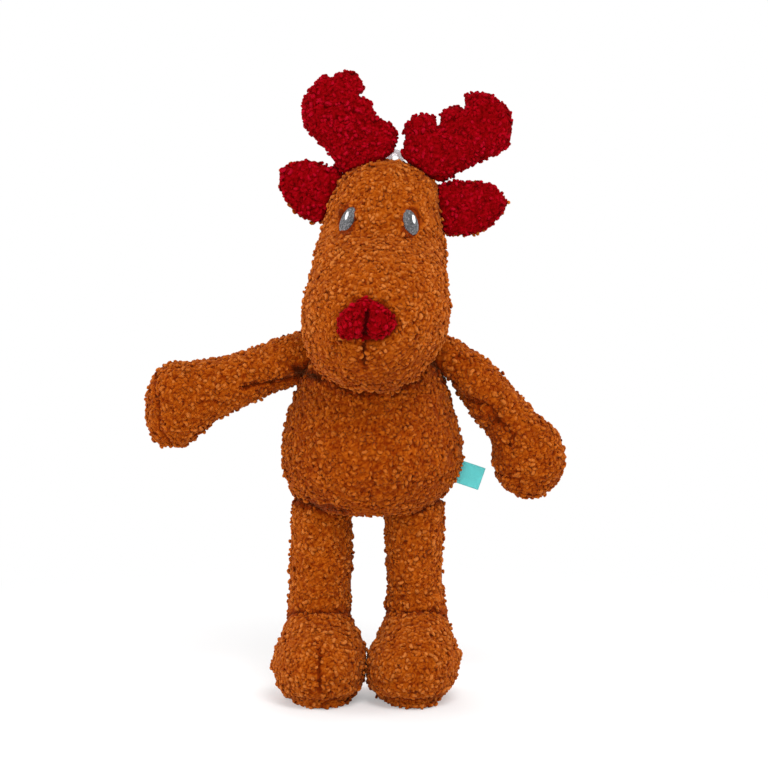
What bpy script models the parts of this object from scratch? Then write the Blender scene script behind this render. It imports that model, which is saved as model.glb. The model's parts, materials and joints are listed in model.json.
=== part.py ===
"""A stuffed toy deer that stands on its two feet, in metres, +Z up, facing -Y.

Every stuffed piece is a coarse cage with Subdivision Surface. A piece that bends
on its neighbour has a round knuckle on the bend's axis, and the neighbour has a
seat of the same shape, one clearance wider. The body and the head are covers
with filling inside, open to each other at the neck. Left is the toy's own left,
at +X.
"""

import math

import bmesh
import bpy
from mathutils import Matrix, Vector

# Fabric and fits
FLEECE_THICKNESS = 0.003
CLEARANCE = 0.0003
SEAM_GAP = 0.0008
ANTLER_GAP = 0.0022
PAIR_GAP = 0.0008
OVERRUN = 0.03
STAND_CUT = 0.0005
WELD_DISTANCE = 0.00003

# Body
TORSO_HEIGHT = 0.125
TORSO_WIDTH = 0.1145
TORSO_DEPTH = 0.095
DOME_RADIUS = 0.0475
NECK_OPENING_RADIUS = 0.016
NECK_WAD_DEPTH = 0.017

# Head, measured in its own upright frame from the neck pivot. Drops are below its crown.
HEAD_HEIGHT = 0.1455
CRANIUM_RISE = 0.0415
CRANIUM_WIDTH = 0.085
CRANIUM_DEPTH = 0.075
SNOUT_HEIGHT = 0.096
SNOUT_WIDTH = 0.094
SNOUT_DEPTH = 0.084
SNOUT_REACH = 0.086
CHIN_RISE = 0.0015
HEAD_ROLL = math.radians(4)
HEAD_YAW = math.radians(-3.5)

# Face
NOSE_WIDTH = 0.039
NOSE_HEIGHT = 0.028
NOSE_DEPTH = 0.020
NOSE_RISE = 0.0465
EYE_SPACING = 0.040
EYE_WIDTH = 0.0118
EYE_HEIGHT = 0.0172
EYE_DEPTH = 0.0050
EYE_DROP = 0.0380
EYE_LEAN = math.radians(8)
EYE_TURN = math.radians(28)
GLINT_WIDTH = 0.0032
GLINT_HEIGHT = 0.0062
GLINT_DEPTH = 0.0024
GLINT_RISE = 0.0029

# Ears
EAR_LENGTH = 0.040
EAR_HEIGHT = 0.036
EAR_THICKNESS = 0.0085
EAR_DROP = 0.0280
EAR_SPREAD_SHARE = 0.90
EAR_LIFT_LEFT = math.radians(4)
EAR_LIFT_RIGHT = math.radians(16)

# Antlers
ANTLER_LENGTH = 0.066
ANTLER_WIDTH = 0.052
ANTLER_THICKNESS = 0.019
ANTLER_SPACING = 0.037
ANTLER_DROP = 0.0100
ANTLER_KNUCKLE_RADIUS = 0.0085
ANTLER_KNUCKLE_LENGTH = 0.022
ANTLER_LEAN_LEFT = math.radians(43)
ANTLER_LEAN_RIGHT = math.radians(-15)

# Hang loop
LOOP_WIDTH = 0.0125
LOOP_HEIGHT = 0.0150
LOOP_WIRE = 0.0026
LOOP_SETBACK = 0.014
LOOP_SINK = 0.0052

# Arms
ARM_LENGTH = 0.103
ARM_KNUCKLE_RADIUS = 0.0140
ARM_THICKNESS = 0.032
PAW_WIDTH = 0.049
PAW_PANEL_DEPTH = 0.014
SHOULDER_SPACING = 0.097
SHOULDER_RISE = 0.021
ARM_DROOP_LEFT = (math.radians(34), math.radians(78))
ARM_DROOP_RIGHT = (math.radians(17), math.radians(24))

# Legs
LEG_LENGTH = 0.058
LEG_THICKNESS = 0.0400
LEG_KNUCKLE_RADIUS = 0.0195
HIP_SPACING = 0.058
HIP_DROP = 0.010
HIP_SHIFT = -0.002

# Feet
FOOT_LENGTH = 0.082
FOOT_WIDTH = 0.0595
FOOT_HEIGHT = 0.056
FOOT_FORWARD = 0.016
ANKLE_RISE = 0.055
SOLE_THICKNESS = 0.008
FOOT_TURN_LEFT = math.radians(4)
FOOT_TURN_RIGHT = math.radians(-1)

# Label
LABEL_LENGTH = 0.0155
LABEL_WIDTH = 0.0145
LABEL_THICKNESS = 0.0012
LABEL_RISE = 0.026
LABEL_SIDE_SHARE = 0.985
LABEL_TILT = math.radians(19)

# Ring tables: height, half width, half depth and forward, as shares of the piece's sizes
TORSO_RING_SHARES = (
    (0.000, 0.30, 0.34, 0.00),
    (0.030, 0.62, 0.66, 0.00),
    (0.120, 0.88, 0.88, 0.01),
    (0.290, 0.995, 1.00, 0.012),
    (0.430, 0.98, 1.00, 0.008),
    (0.560, 0.895, 0.99, 0.00),
    (0.680, 0.805, 0.965, 0.00),
    (0.790, 0.72, 0.865, 0.00),
    (0.880, 0.585, 0.705, 0.00),
    (0.950, 0.38, 0.455, 0.00),
)
CRANIUM_RING_SHARES = (
    (0.000, 0.45, 0.50, 0.00),
    (0.060, 0.78, 0.82, 0.00),
    (0.230, 0.98, 1.00, 0.03),
    (0.450, 0.975, 1.00, 0.04),
    (0.640, 0.935, 0.98, 0.03),
    (0.790, 0.86, 0.90, 0.02),
    (0.910, 0.66, 0.70, 0.00),
    (1.000, 0.30, 0.34, 0.00),
)
EYE_RING = 4
SNOUT_RING_SHARES = (
    (0.000, 0.26, 0.24, 0.05),
    (0.060, 0.58, 0.52, 0.06),
    (0.170, 0.82, 0.74, 0.06),
    (0.320, 0.96, 0.92, 0.03),
    (0.490, 1.00, 1.00, 0.00),
    (0.640, 0.96, 0.97, -0.03),
    (0.800, 0.90, 0.82, -0.10),
    (0.930, 0.70, 0.56, -0.18),
    (1.000, 0.38, 0.26, -0.22),
)
# Ring tables along a limb: along, half thickness, half depth
ARM_RING_SHARES = (
    (0.00, 0.60, 0.60),
    (0.06, 0.74, 0.74),
    (0.20, 0.87, 0.86),
    (0.46, 1.06, 0.98),
    (0.62, 1.22, 1.06),
    (0.78, 1.50, 1.24),
    (0.90, 1.42, 1.18),
    (0.985, 0.86, 0.72),
)
LEG_RING_SHARES = (
    (-0.03, 0.76, 0.76),
    (0.03, 0.945, 0.945),
    (0.18, 0.99, 0.99),
    (0.50, 1.02, 1.00),
    (0.86, 0.985, 0.985),
    (0.97, 0.945, 0.945),
    (1.03, 0.76, 0.76),
)
# Ring table along a foot: along, half width, half height and lift
FOOT_RING_SHARES = (
    (0.000, 0.34, 0.36, 0.16),
    (0.060, 0.66, 0.70, 0.05),
    (0.240, 0.92, 0.97, 0.00),
    (0.460, 1.00, 1.00, 0.00),
    (0.680, 0.98, 0.93, 0.00),
    (0.880, 0.78, 0.74, 0.05),
    (0.990, 0.40, 0.38, 0.17),
)
EAR_RING_SHARES = (
    (-0.08, 0.62, 0.40),
    (0.08, 0.80, 0.56),
    (0.24, 0.94, 0.90),
    (0.48, 1.00, 1.00),
    (0.70, 0.87, 0.90),
    (0.88, 0.56, 0.76),
    (1.00, 0.22, 0.50),
)
# Antler outline: along, inner edge, outer edge as shares of its width, and thickness
ANTLER_OUTLINE_SHARES = (
    (0.00, -0.22, 0.18, 0.60),
    (0.11, -0.40, 0.27, 1.00),
    (0.22, -0.58, 0.34, 1.00),
    (0.34, -0.54, 0.41, 1.00),
    (0.45, -0.20, 0.48, 1.00),
    (0.57, -0.40, 0.52, 1.00),
    (0.68, -0.14, 0.54, 1.00),
    (0.80, -0.33, 0.50, 1.00),
    (0.92, -0.26, 0.40, 1.00),
    (1.00, -0.06, 0.22, 0.60),
)

# Mesh density
FINE_SIDES = 12
COARSE_SIDES = 8
SMOOTH_LEVELS = 1
DOME_SEGMENTS = 28
LIMB_SEGMENTS = 20
SMALL_SEGMENTS = 16
PAD_SEGMENTS = 12
CURVE_RESOLUTION = 3
LOOP_STEPS = 8
ARM_STEPS = 40

# Finishes: colour, roughness and how clear
FINISHES = {
    "brown_fleece": ((0.40, 0.088, 0.006, 1), 0.95, 0.0),
    "red_fleece": ((0.26, 0.002, 0.006, 1), 0.95, 0.0),
    "sole_fleece": ((0.30, 0.062, 0.005, 1), 0.95, 0.0),
    "fibre_filling": ((0.80, 0.80, 0.80, 1), 1.0, 0.0),
    "eye_thread": ((0.10, 0.15, 0.19, 1), 0.55, 0.0),
    "glint_thread": ((0.80, 0.80, 0.80, 1), 0.5, 0.0),
    "label_ribbon": ((0.04, 0.56, 0.52, 1), 0.35, 0.0),
    "clear_plastic": ((0.85, 0.85, 0.85, 1), 0.08, 0.8),
}

# Places that follow from the sizes
HIP_Z = ANKLE_RISE + LEG_LENGTH
TORSO_BOTTOM = HIP_Z + HIP_DROP
NECK_PIVOT = Vector((0, 0, TORSO_BOTTOM + TORSO_HEIGHT - DOME_RADIUS))
RIGHT = -1
LEFT = 1
X_AXIS = Vector((1, 0, 0))
Y_AXIS = Vector((0, 1, 0))
Z_AXIS = Vector((0, 0, 1))
HEAD_TURN = Matrix.Rotation(HEAD_YAW, 4, "Z") @ Matrix.Rotation(HEAD_ROLL, 4, "Y")


def remove_everything():
    for thing in list(bpy.data.objects):
        bpy.data.objects.remove(thing, do_unlink=True)


def new_collection(name):
    collection = bpy.data.collections.new(name)
    bpy.context.scene.collection.children.link(collection)
    return collection


remove_everything()
DEER = new_collection("plush_deer")
CUTTERS = new_collection("cutters")


def new_material(name, colour, roughness, transmission):
    material = bpy.data.materials.new(name)
    material.use_nodes = True
    shader = material.node_tree.nodes["Principled BSDF"]
    shader.inputs["Base Color"].default_value = colour
    shader.inputs["Roughness"].default_value = roughness
    shader.inputs["Transmission Weight"].default_value = transmission
    return material


MATERIALS = {name: new_material(name, *finish) for name, finish in FINISHES.items()}


def new_empty(name, place, parent=None):
    empty = bpy.data.objects.new(name, None)
    empty.empty_display_size = DOME_RADIUS
    empty.parent = parent
    empty.matrix_world = place
    DEER.objects.link(empty)
    bpy.context.view_layer.update()
    return empty


def object_of(name, shape, place, parent=None, is_cutter=False):
    """An object made of a bmesh, at a place in the world, under an empty."""
    bmesh.ops.recalc_face_normals(shape, faces=shape.faces)
    mesh = bpy.data.meshes.new(name)
    shape.to_mesh(mesh)
    shape.free()
    mesh.shade_smooth()
    thing = bpy.data.objects.new(name, mesh)
    if is_cutter:
        CUTTERS.objects.link(thing)
        thing.hide_render = True
        thing.display_type = "WIRE"
    else:
        DEER.objects.link(thing)
    thing.parent = parent
    bpy.context.view_layer.update()
    thing.matrix_world = place
    return thing


def subdivide(thing):
    modifier = thing.modifiers.new("smooth", "SUBSURF")
    modifier.levels = SMOOTH_LEVELS
    modifier.render_levels = SMOOTH_LEVELS


def draw_in(thing, inset):
    """Moves a form's surface inwards."""
    if inset:
        modifier = thing.modifiers.new("inset", "DISPLACE")
        modifier.mid_level = 0
        modifier.strength = -inset


def boolean(thing, other, operation):
    modifier = thing.modifiers.new(operation.lower(), "BOOLEAN")
    modifier.operation = operation
    modifier.object = other
    modifier.solver = "EXACT"


def cut(thing, *cutters):
    for cutter in cutters:
        boolean(thing, cutter, "DIFFERENCE")


def join(thing, *others):
    for other in others:
        boolean(thing, other, "UNION")


def keep_inside(thing, other):
    boolean(thing, other, "INTERSECT")


def soft_form(name, sections, sides, place, parent=None, is_cutter=False, inset=0):
    """A closed form through ring sections, each a matrix that places the unit circle."""
    # The cage stands this much outside the circle, because smoothing pulls its corners in.
    fullness = 3 / (2 + math.cos(math.tau / sides))
    cage = bmesh.new()
    loops = []
    for section in sections:
        made = bmesh.ops.create_circle(cage, segments=sides, radius=fullness, matrix=section)
        verts = set(made["verts"])
        loops.append([edge for edge in cage.edges if verts.issuperset(edge.verts)])
    for near, far in zip(loops, loops[1:]):
        bmesh.ops.bridge_loops(cage, edges=near + far)
    for end in (loops[0], loops[-1]):
        bmesh.ops.contextual_create(cage, geom=end)
    form = object_of(name, cage, place, parent, is_cutter)
    subdivide(form)
    draw_in(form, inset)
    return form


def upright_sections(height, width, depth, shares):
    sections = []
    for rise, wide, deep, forward in shares:
        place = Matrix.Translation((0, -forward * depth, rise * height))
        size = Matrix.Diagonal((wide * width / 2, deep * depth / 2, 1, 1))
        sections.append(place @ size)
    return sections


def box(name, low, high, place, parent=None):
    """A cutter box between two corners, given in the frame of its place."""
    size = Vector(high) - Vector(low)
    middle = (Vector(high) + Vector(low)) / 2
    shape = bmesh.new()
    bmesh.ops.create_cube(shape, size=1, matrix=Matrix.Translation(middle) @ Matrix.Diagonal((*size, 1)))
    return object_of(name, shape, place, parent, is_cutter=True)


def drum(name, radius, low, high, place, parent=None, is_cutter=True):
    """An upright round bar about the place's Z axis."""
    shape = bmesh.new()
    middle = Matrix.Translation((0, 0, (low + high) / 2))
    bmesh.ops.create_cone(
        shape, cap_ends=True, segments=LIMB_SEGMENTS, radius1=radius, radius2=radius,
        depth=high - low, matrix=middle,
    )
    return object_of(name, shape, place, parent, is_cutter)


def knuckle(name, centre, axis, radius, half_length, segments, grow=0):
    """A round solid of revolution about a bend's axis. One that is grown stays outside the true round."""
    outside = 1 / math.cos(math.pi / segments) ** 2 if grow else 1
    across = (radius + grow) * outside
    along = (half_length + grow) * outside
    shape = bmesh.new()
    bmesh.ops.create_uvsphere(
        shape, u_segments=segments, v_segments=segments // 2, radius=1,
        matrix=Matrix.Diagonal((across, across, along, 1)),
    )
    turn = Z_AXIS.rotation_difference(axis).to_matrix().to_4x4()
    return object_of(name, shape, Matrix.Translation(centre) @ turn, is_cutter=True)


def ball(name, centre, radius, segments, grow=0):
    return knuckle(name, centre, Z_AXIS, radius, radius, segments, grow)


def with_material(name, *things):
    for thing in things:
        thing.data.materials.clear()
        thing.data.materials.append(MATERIALS[name])


def shoulder_point(side):
    return NECK_PIVOT + Vector((side * SHOULDER_SPACING / 2, 0, SHOULDER_RISE))


def hip_point(side):
    return Vector((HIP_SHIFT + side * HIP_SPACING / 2, 0, HIP_Z))


def ankle_point(side):
    return Vector((HIP_SHIFT + side * HIP_SPACING / 2, 0, ANKLE_RISE))


def head_place(offset=(0, 0, 0)):
    return Matrix.Translation(NECK_PIVOT) @ HEAD_TURN @ Matrix.Translation(offset)


def limb_seats(owner, grow):
    """The cutters that leave room in the body for the arms' and legs' knuckles."""
    seats = []
    for side, word in ((LEFT, "left"), (RIGHT, "right")):
        seats.append(knuckle(
            f"{owner}_shoulder_seat_{word}", shoulder_point(side), Y_AXIS,
            ARM_KNUCKLE_RADIUS, ARM_KNUCKLE_RADIUS, LIMB_SEGMENTS, grow,
        ))
        seats.append(knuckle(
            f"{owner}_hip_seat_{word}", hip_point(side), X_AXIS,
            LEG_KNUCKLE_RADIUS, LEG_KNUCKLE_RADIUS, LIMB_SEGMENTS, grow,
        ))
    return seats


def torso_form(name, inset, sides, is_cutter=False):
    """The body's outer form drawn in by a wall, seated for the limbs."""
    sections = upright_sections(TORSO_HEIGHT, TORSO_WIDTH, TORSO_DEPTH, TORSO_RING_SHARES)
    place = Matrix.Translation((0, 0, TORSO_BOTTOM))
    form = soft_form(name, sections, sides, place, None, is_cutter, inset)
    dome_radius = DOME_RADIUS - inset
    dome = ball(f"{name}_dome", NECK_PIVOT, dome_radius, DOME_SEGMENTS)
    join(form, dome)
    cut(form, *limb_seats(name, CLEARANCE + inset))
    return form


def make_torso(frame):
    place = Matrix.Translation(NECK_PIVOT)
    wad_bottom = DOME_RADIUS - NECK_WAD_DEPTH
    wad_radius = NECK_OPENING_RADIUS - CLEARANCE

    cover = torso_form("torso_cover", 0, FINE_SIDES)
    hollow = torso_form("torso_hollow", FLEECE_THICKNESS, COARSE_SIDES, is_cutter=True)
    opening = drum("neck_opening", NECK_OPENING_RADIUS, wad_bottom, DOME_RADIUS + OVERRUN, place)
    cut(cover, hollow, opening)

    filling = torso_form("torso_filling", FLEECE_THICKNESS + CLEARANCE, COARSE_SIDES)
    pocket = drum("neck_pocket", NECK_OPENING_RADIUS, wad_bottom, DOME_RADIUS + OVERRUN, place)
    cut(filling, pocket)

    wad = drum(
        "neck_filling", wad_radius, wad_bottom + CLEARANCE, DOME_RADIUS + OVERRUN, place,
        frame["neck"], is_cutter=False,
    )
    wad_top = ball("neck_wad_top", NECK_PIVOT, DOME_RADIUS, DOME_SEGMENTS)
    keep_inside(wad, wad_top)

    with_material("brown_fleece", cover)
    with_material("fibre_filling", filling, wad)


def antler_root(side):
    return Vector((side * ANTLER_SPACING / 2, 0, HEAD_HEIGHT - ANTLER_DROP))


def head_form(name, inset, sides, frame, is_cutter=False):
    """Forehead and snout as one form, drawn in by a wall, hollowed to sit on the body's dome."""
    cranium_height = HEAD_HEIGHT - CRANIUM_RISE
    form = soft_form(
        name, upright_sections(cranium_height, CRANIUM_WIDTH, CRANIUM_DEPTH, CRANIUM_RING_SHARES),
        sides, head_place((0, 0, CRANIUM_RISE)), frame["head"], is_cutter, inset,
    )
    snout_middle = SNOUT_DEPTH / 2 - SNOUT_REACH
    snout = soft_form(
        f"{name}_snout", upright_sections(SNOUT_HEIGHT, SNOUT_WIDTH, SNOUT_DEPTH, SNOUT_RING_SHARES),
        sides, head_place((0, snout_middle, CHIN_RISE)), frame["head"], True, inset,
    )
    join(form, snout)
    seats = [ball(f"{name}_neck_seat", NECK_PIVOT, DOME_RADIUS, DOME_SEGMENTS, CLEARANCE + inset)]
    for side, word in ((LEFT, "left"), (RIGHT, "right")):
        seats.append(knuckle(
            f"{name}_antler_seat_{word}", head_place() @ antler_root(side), HEAD_TURN @ X_AXIS,
            ANTLER_KNUCKLE_RADIUS, ANTLER_KNUCKLE_LENGTH / 2, SMALL_SEGMENTS, CLEARANCE + inset,
        ))
    cut(form, *seats)
    return form


def make_head(frame):
    opening_top = DOME_RADIUS + FLEECE_THICKNESS + OVERRUN / 2
    cover = head_form("head_cover", 0, FINE_SIDES, frame)
    hollow = head_form("head_hollow", FLEECE_THICKNESS, COARSE_SIDES, frame, is_cutter=True)
    opening = drum("head_opening", NECK_OPENING_RADIUS, 0, opening_top, head_place(), frame["head"])
    cut(cover, hollow, opening)

    filling = head_form("head_filling", FLEECE_THICKNESS + CLEARANCE, COARSE_SIDES, frame)
    plug_radius = NECK_OPENING_RADIUS - CLEARANCE
    plug = drum("head_plug", plug_radius, 0, opening_top, head_place(), frame["head"])
    join(filling, plug)
    cut(filling, ball("plug_seat", NECK_PIVOT, DOME_RADIUS, DOME_SEGMENTS, CLEARANCE))
    with_material("brown_fleece", cover)
    with_material("fibre_filling", filling)


def pad(name, width, depth, height, place, parent, is_cutter=False, is_smooth=False):
    """A small padded oval, from a sphere."""
    shape = bmesh.new()
    bmesh.ops.create_uvsphere(
        shape, u_segments=PAD_SEGMENTS, v_segments=PAD_SEGMENTS // 2, radius=1,
        matrix=Matrix.Diagonal((width / 2, depth / 2, height / 2, 1)),
    )
    thing = object_of(name, shape, place, parent, is_cutter)
    if is_smooth:
        subdivide(thing)
    return thing


def forehead_front(across):
    """The place of the forehead's surface at eye height, that far from its middle."""
    _, wide_share, deep_share, forward_share = CRANIUM_RING_SHARES[EYE_RING]
    outward = abs(across) / (CRANIUM_WIDTH / 2 * wide_share)
    return -CRANIUM_DEPTH * (forward_share + deep_share / 2 * math.sqrt(1 - outward ** 2))


def make_face(frame):
    nose = pad(
        "nose", NOSE_WIDTH, NOSE_DEPTH, NOSE_HEIGHT,
        head_place((0, -SNOUT_REACH, NOSE_RISE)), frame["head"], is_smooth=True,
    )
    cut(nose, frame["trim_room"])
    with_material("red_fleece", nose)
    for side, word in ((LEFT, "left"), (RIGHT, "right")):
        across = side * EYE_SPACING / 2
        lean = Matrix.Rotation(side * EYE_TURN, 4, "Z") @ Matrix.Rotation(-side * EYE_LEAN, 4, "Y")
        spot = head_place((across, forehead_front(across), HEAD_HEIGHT - EYE_DROP)) @ lean
        eye = pad(f"eye_{word}", EYE_WIDTH, EYE_DEPTH, EYE_HEIGHT, spot, frame["head"])
        cut(eye, frame["trim_room"])
        eye_room = pad(
            f"eye_room_{word}", EYE_WIDTH + CLEARANCE * 2, EYE_DEPTH + CLEARANCE * 2,
            EYE_HEIGHT + CLEARANCE * 2, spot, frame["head"], is_cutter=True,
        )
        glint_offset = Matrix.Translation((0, -EYE_DEPTH / 2, GLINT_RISE))
        glint = pad(
            f"eye_glint_{word}", GLINT_WIDTH, GLINT_DEPTH, GLINT_HEIGHT,
            spot @ glint_offset, frame["head"],
        )
        cut(glint, eye_room, frame["trim_room"])
        with_material("eye_thread", eye)
        with_material("glint_thread", glint)


def ear_place(side):
    root = Vector((side * CRANIUM_WIDTH / 2 * EAR_SPREAD_SHARE, 0, HEAD_HEIGHT - EAR_DROP))
    flip = Matrix.Rotation(math.pi if side == RIGHT else 0, 4, "Z")
    lift = EAR_LIFT_LEFT if side == LEFT else EAR_LIFT_RIGHT
    return head_place(root) @ flip @ Matrix.Rotation(-lift, 4, "Y")


def make_ear(side, word, frame):
    """A leaf along the place's X axis, parted into a front and a back panel."""
    sections = []
    for along, high, thick in EAR_RING_SHARES:
        across = Matrix.Diagonal((high * EAR_HEIGHT / 2, thick * EAR_THICKNESS / 2, 1, 1))
        out = Matrix.Translation((along * EAR_LENGTH, 0, 0)) @ Matrix.Rotation(math.pi / 2, 4, "Y")
        sections.append(out @ across)
    place = ear_place(side)
    front_side = -1 if side == LEFT else 1
    for panel, facing, material in (
        ("front", front_side, "red_fleece"),
        ("back", -front_side, "brown_fleece"),
    ):
        leaf = soft_form(
            f"ear_{word}_{panel}", sections, COARSE_SIDES, place, frame[f"ear_{word}"],
        )
        far = facing * (EAR_THICKNESS + OVERRUN)
        near = facing * CLEARANCE / 2
        low = (-OVERRUN, min(near, far), -EAR_HEIGHT)
        high = (EAR_LENGTH + OVERRUN, max(near, far), EAR_HEIGHT)
        half = box(f"ear_{word}_{panel}_half", low, high, place, frame[f"ear_{word}"])
        keep_inside(leaf, half)
        cut(leaf, frame["ear_room"])
        with_material(material, leaf)


def make_antler(side, word, lean, frame):
    """A lobed outline as rings across the antler, each as wide as the outline there."""
    place = head_place(antler_root(side)) @ Matrix.Rotation(lean - HEAD_ROLL, 4, "Y")
    sections = []
    for along, inner, outer, thick in ANTLER_OUTLINE_SHARES:
        middle = side * (inner + outer) / 2 * ANTLER_WIDTH
        half_width = (outer - inner) / 2 * ANTLER_WIDTH
        size = Matrix.Diagonal((half_width, thick * ANTLER_THICKNESS / 2, 1, 1))
        sections.append(Matrix.Translation((middle, 0, along * ANTLER_LENGTH)) @ size)
    antler = soft_form(
        f"antler_{word}", sections, COARSE_SIDES, place, frame[f"antler_{word}"],
    )
    cut(antler, frame["antler_room"])
    root = knuckle(
        f"antler_knuckle_{word}", head_place() @ antler_root(side), HEAD_TURN @ X_AXIS,
        ANTLER_KNUCKLE_RADIUS, ANTLER_KNUCKLE_LENGTH / 2, SMALL_SEGMENTS,
    )
    join(antler, root)
    with_material("red_fleece", antler)


def make_hang_loop(frame):
    """A round wire bent to an arch that stands on the crown."""
    half = LOOP_WIDTH / 2 - LOOP_WIRE / 2
    top = LOOP_HEIGHT - LOOP_WIRE / 2 - half
    points = [(-half, 0, 0)]
    for step in range(LOOP_STEPS + 1):
        angle = math.pi * (1 - step / LOOP_STEPS)
        points.append((half * math.cos(angle), 0, top + half * math.sin(angle)))
    points.append((half, 0, 0))
    curve = bpy.data.curves.new("hang_loop_wire", "CURVE")
    curve.dimensions = "3D"
    curve.bevel_depth = LOOP_WIRE / 2
    curve.bevel_resolution = CURVE_RESOLUTION
    curve.use_fill_caps = True
    line = curve.splines.new("POLY")
    line.points.add(len(points) - 1)
    for point, place in zip(line.points, points):
        point.co = (*place, 1)
    wire = bpy.data.objects.new("hang_loop_wire", curve)
    CUTTERS.objects.link(wire)
    bpy.context.view_layer.update()
    mesh = bpy.data.meshes.new_from_object(wire.evaluated_get(bpy.context.evaluated_depsgraph_get()))
    bpy.data.objects.remove(wire, do_unlink=True)
    shape = bmesh.new()
    shape.from_mesh(mesh)
    bmesh.ops.remove_doubles(shape, verts=shape.verts, dist=WELD_DISTANCE)
    loop = object_of(
        "hang_loop", shape, head_place((0, LOOP_SETBACK, HEAD_HEIGHT - LOOP_SINK)), frame["head"],
    )
    cut(loop, frame["trim_room"])
    with_material("clear_plastic", loop)


def arm_sections(side, droop):
    """Rings along an arc that starts at one droop angle and ends at another."""
    start, end = droop
    spots = [Vector((0, 0, 0))]
    for step in range(ARM_STEPS):
        angle = start + (end - start) * (step + 0.5) / ARM_STEPS
        spots.append(spots[-1] + Vector((side * math.cos(angle), 0, -math.sin(angle))) / ARM_STEPS)
    sections = []
    for along, thick, deep in ARM_RING_SHARES:
        angle = start + (end - start) * along
        size = Matrix.Diagonal((thick * ARM_THICKNESS / 2, deep * ARM_THICKNESS / 2, 1, 1))
        heading = Vector((side * math.cos(angle), 0, -math.sin(angle)))
        turn = Matrix.Rotation(side * (math.pi / 2 + angle), 4, "Y")
        centre = spots[round(along * ARM_STEPS)] * ARM_LENGTH
        sections.append(Matrix.Translation(centre) @ turn @ size)
        last = (centre, turn, heading)
    return sections, last


def make_arm(side, word, droop, frame):
    place = Matrix.Translation(shoulder_point(side))
    sections, (tip, turn, heading) = arm_sections(side, droop)
    seam = place @ Matrix.Translation(tip - heading * PAW_PANEL_DEPTH) @ turn
    reach = PAW_WIDTH + OVERRUN
    for name, gap_side in ((f"arm_{word}", -1), (f"paw_panel_{word}", 1)):
        piece = soft_form(name, sections, COARSE_SIDES, place, frame[f"arm_{word}"])
        low = -CLEARANCE / 2 if gap_side < 0 else -ARM_LENGTH - OVERRUN
        high = PAW_PANEL_DEPTH + OVERRUN if gap_side < 0 else CLEARANCE / 2
        cutter = box(
            f"{name}_seam", (-reach, -reach, low), (reach, reach, high), seam, frame[f"arm_{word}"],
        )
        cut(piece, cutter)
        if gap_side < 0:
            join(piece, knuckle(
                f"shoulder_knuckle_{word}", shoulder_point(side), Y_AXIS,
                ARM_KNUCKLE_RADIUS, ARM_KNUCKLE_RADIUS, LIMB_SEGMENTS,
            ))
        with_material("brown_fleece", piece)


def make_leg(side, word, frame):
    length = HIP_Z - ANKLE_RISE
    sections = []
    for along, wide, deep in LEG_RING_SHARES:
        size = Matrix.Diagonal((wide * LEG_THICKNESS / 2, deep * LEG_THICKNESS / 2, 1, 1))
        sections.append(Matrix.Translation((0, 0, -along * length)) @ size)
    leg = soft_form(
        f"leg_{word}", sections, COARSE_SIDES,
        Matrix.Translation(hip_point(side)), frame[f"leg_{word}"],
    )
    for end, centre in (("hip", hip_point(side)), ("ankle", ankle_point(side))):
        join(leg, knuckle(
            f"{end}_knuckle_{word}", centre, X_AXIS,
            LEG_KNUCKLE_RADIUS, LEG_KNUCKLE_RADIUS, LIMB_SEGMENTS,
        ))
    with_material("brown_fleece", leg)


def make_foot(side, word, turn, frame):
    """A long round foot from heel to toe, parted from its sole at a flat seam."""
    sections = []
    for along, wide, high, lift in FOOT_RING_SHARES:
        half_height = high * FOOT_HEIGHT / 2
        centre = (0, FOOT_LENGTH * (0.5 - along), half_height + lift * FOOT_HEIGHT - STAND_CUT)
        size = Matrix.Diagonal((wide * FOOT_WIDTH / 2, half_height, 1, 1))
        upright = Matrix.Rotation(math.pi / 2, 4, "X")
        sections.append(Matrix.Translation(centre) @ upright @ size)
    ankle = ankle_point(side)
    place = (
        Matrix.Translation((ankle.x + side * PAIR_GAP / 2, ankle.y, 0))
        @ Matrix.Rotation(turn, 4, "Z")
        @ Matrix.Translation((0, -FOOT_FORWARD, 0))
    )
    reach = FOOT_LENGTH + OVERRUN
    frame_name = frame[f"foot_{word}"]
    foot = soft_form(f"foot_{word}", sections, COARSE_SIDES, place, frame_name)
    below = box(
        f"foot_floor_{word}", (-reach, -reach, -OVERRUN),
        (reach, reach, SOLE_THICKNESS + CLEARANCE / 2), place, frame_name,
    )
    seat = knuckle(
        f"ankle_seat_{word}", ankle, X_AXIS,
        LEG_KNUCKLE_RADIUS, LEG_KNUCKLE_RADIUS, LIMB_SEGMENTS, CLEARANCE,
    )
    cut(foot, below, seat)
    sole = soft_form(f"sole_{word}", sections, COARSE_SIDES, place, frame_name)
    slab = box(
        f"sole_slab_{word}", (-reach, -reach, 0),
        (reach, reach, SOLE_THICKNESS - CLEARANCE / 2), place, frame_name,
    )
    keep_inside(sole, slab)
    with_material("brown_fleece", foot)
    with_material("sole_fleece", sole)


def make_label(frame):
    """A folded ribbon that stands out of the side seam: a thin slab cut to follow the body."""
    shape = bmesh.new()
    reach = LABEL_LENGTH + OVERRUN
    place = label_place()
    size = Matrix.Diagonal((reach, LABEL_THICKNESS, LABEL_WIDTH, 1))
    middle = Matrix.Translation((LABEL_LENGTH - reach / 2, 0, 0))
    bmesh.ops.create_cube(shape, size=1, matrix=middle @ size)
    label = object_of("label", shape, place, frame["label"])
    cut(label, frame["label_room"])
    with_material("label_ribbon", label)


def label_place():
    side = TORSO_WIDTH / 2 * LABEL_SIDE_SHARE
    spot = Vector((side, 0, TORSO_BOTTOM + LABEL_RISE))
    return Matrix.Translation(spot) @ Matrix.Rotation(LABEL_TILT, 4, "Y")


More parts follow.
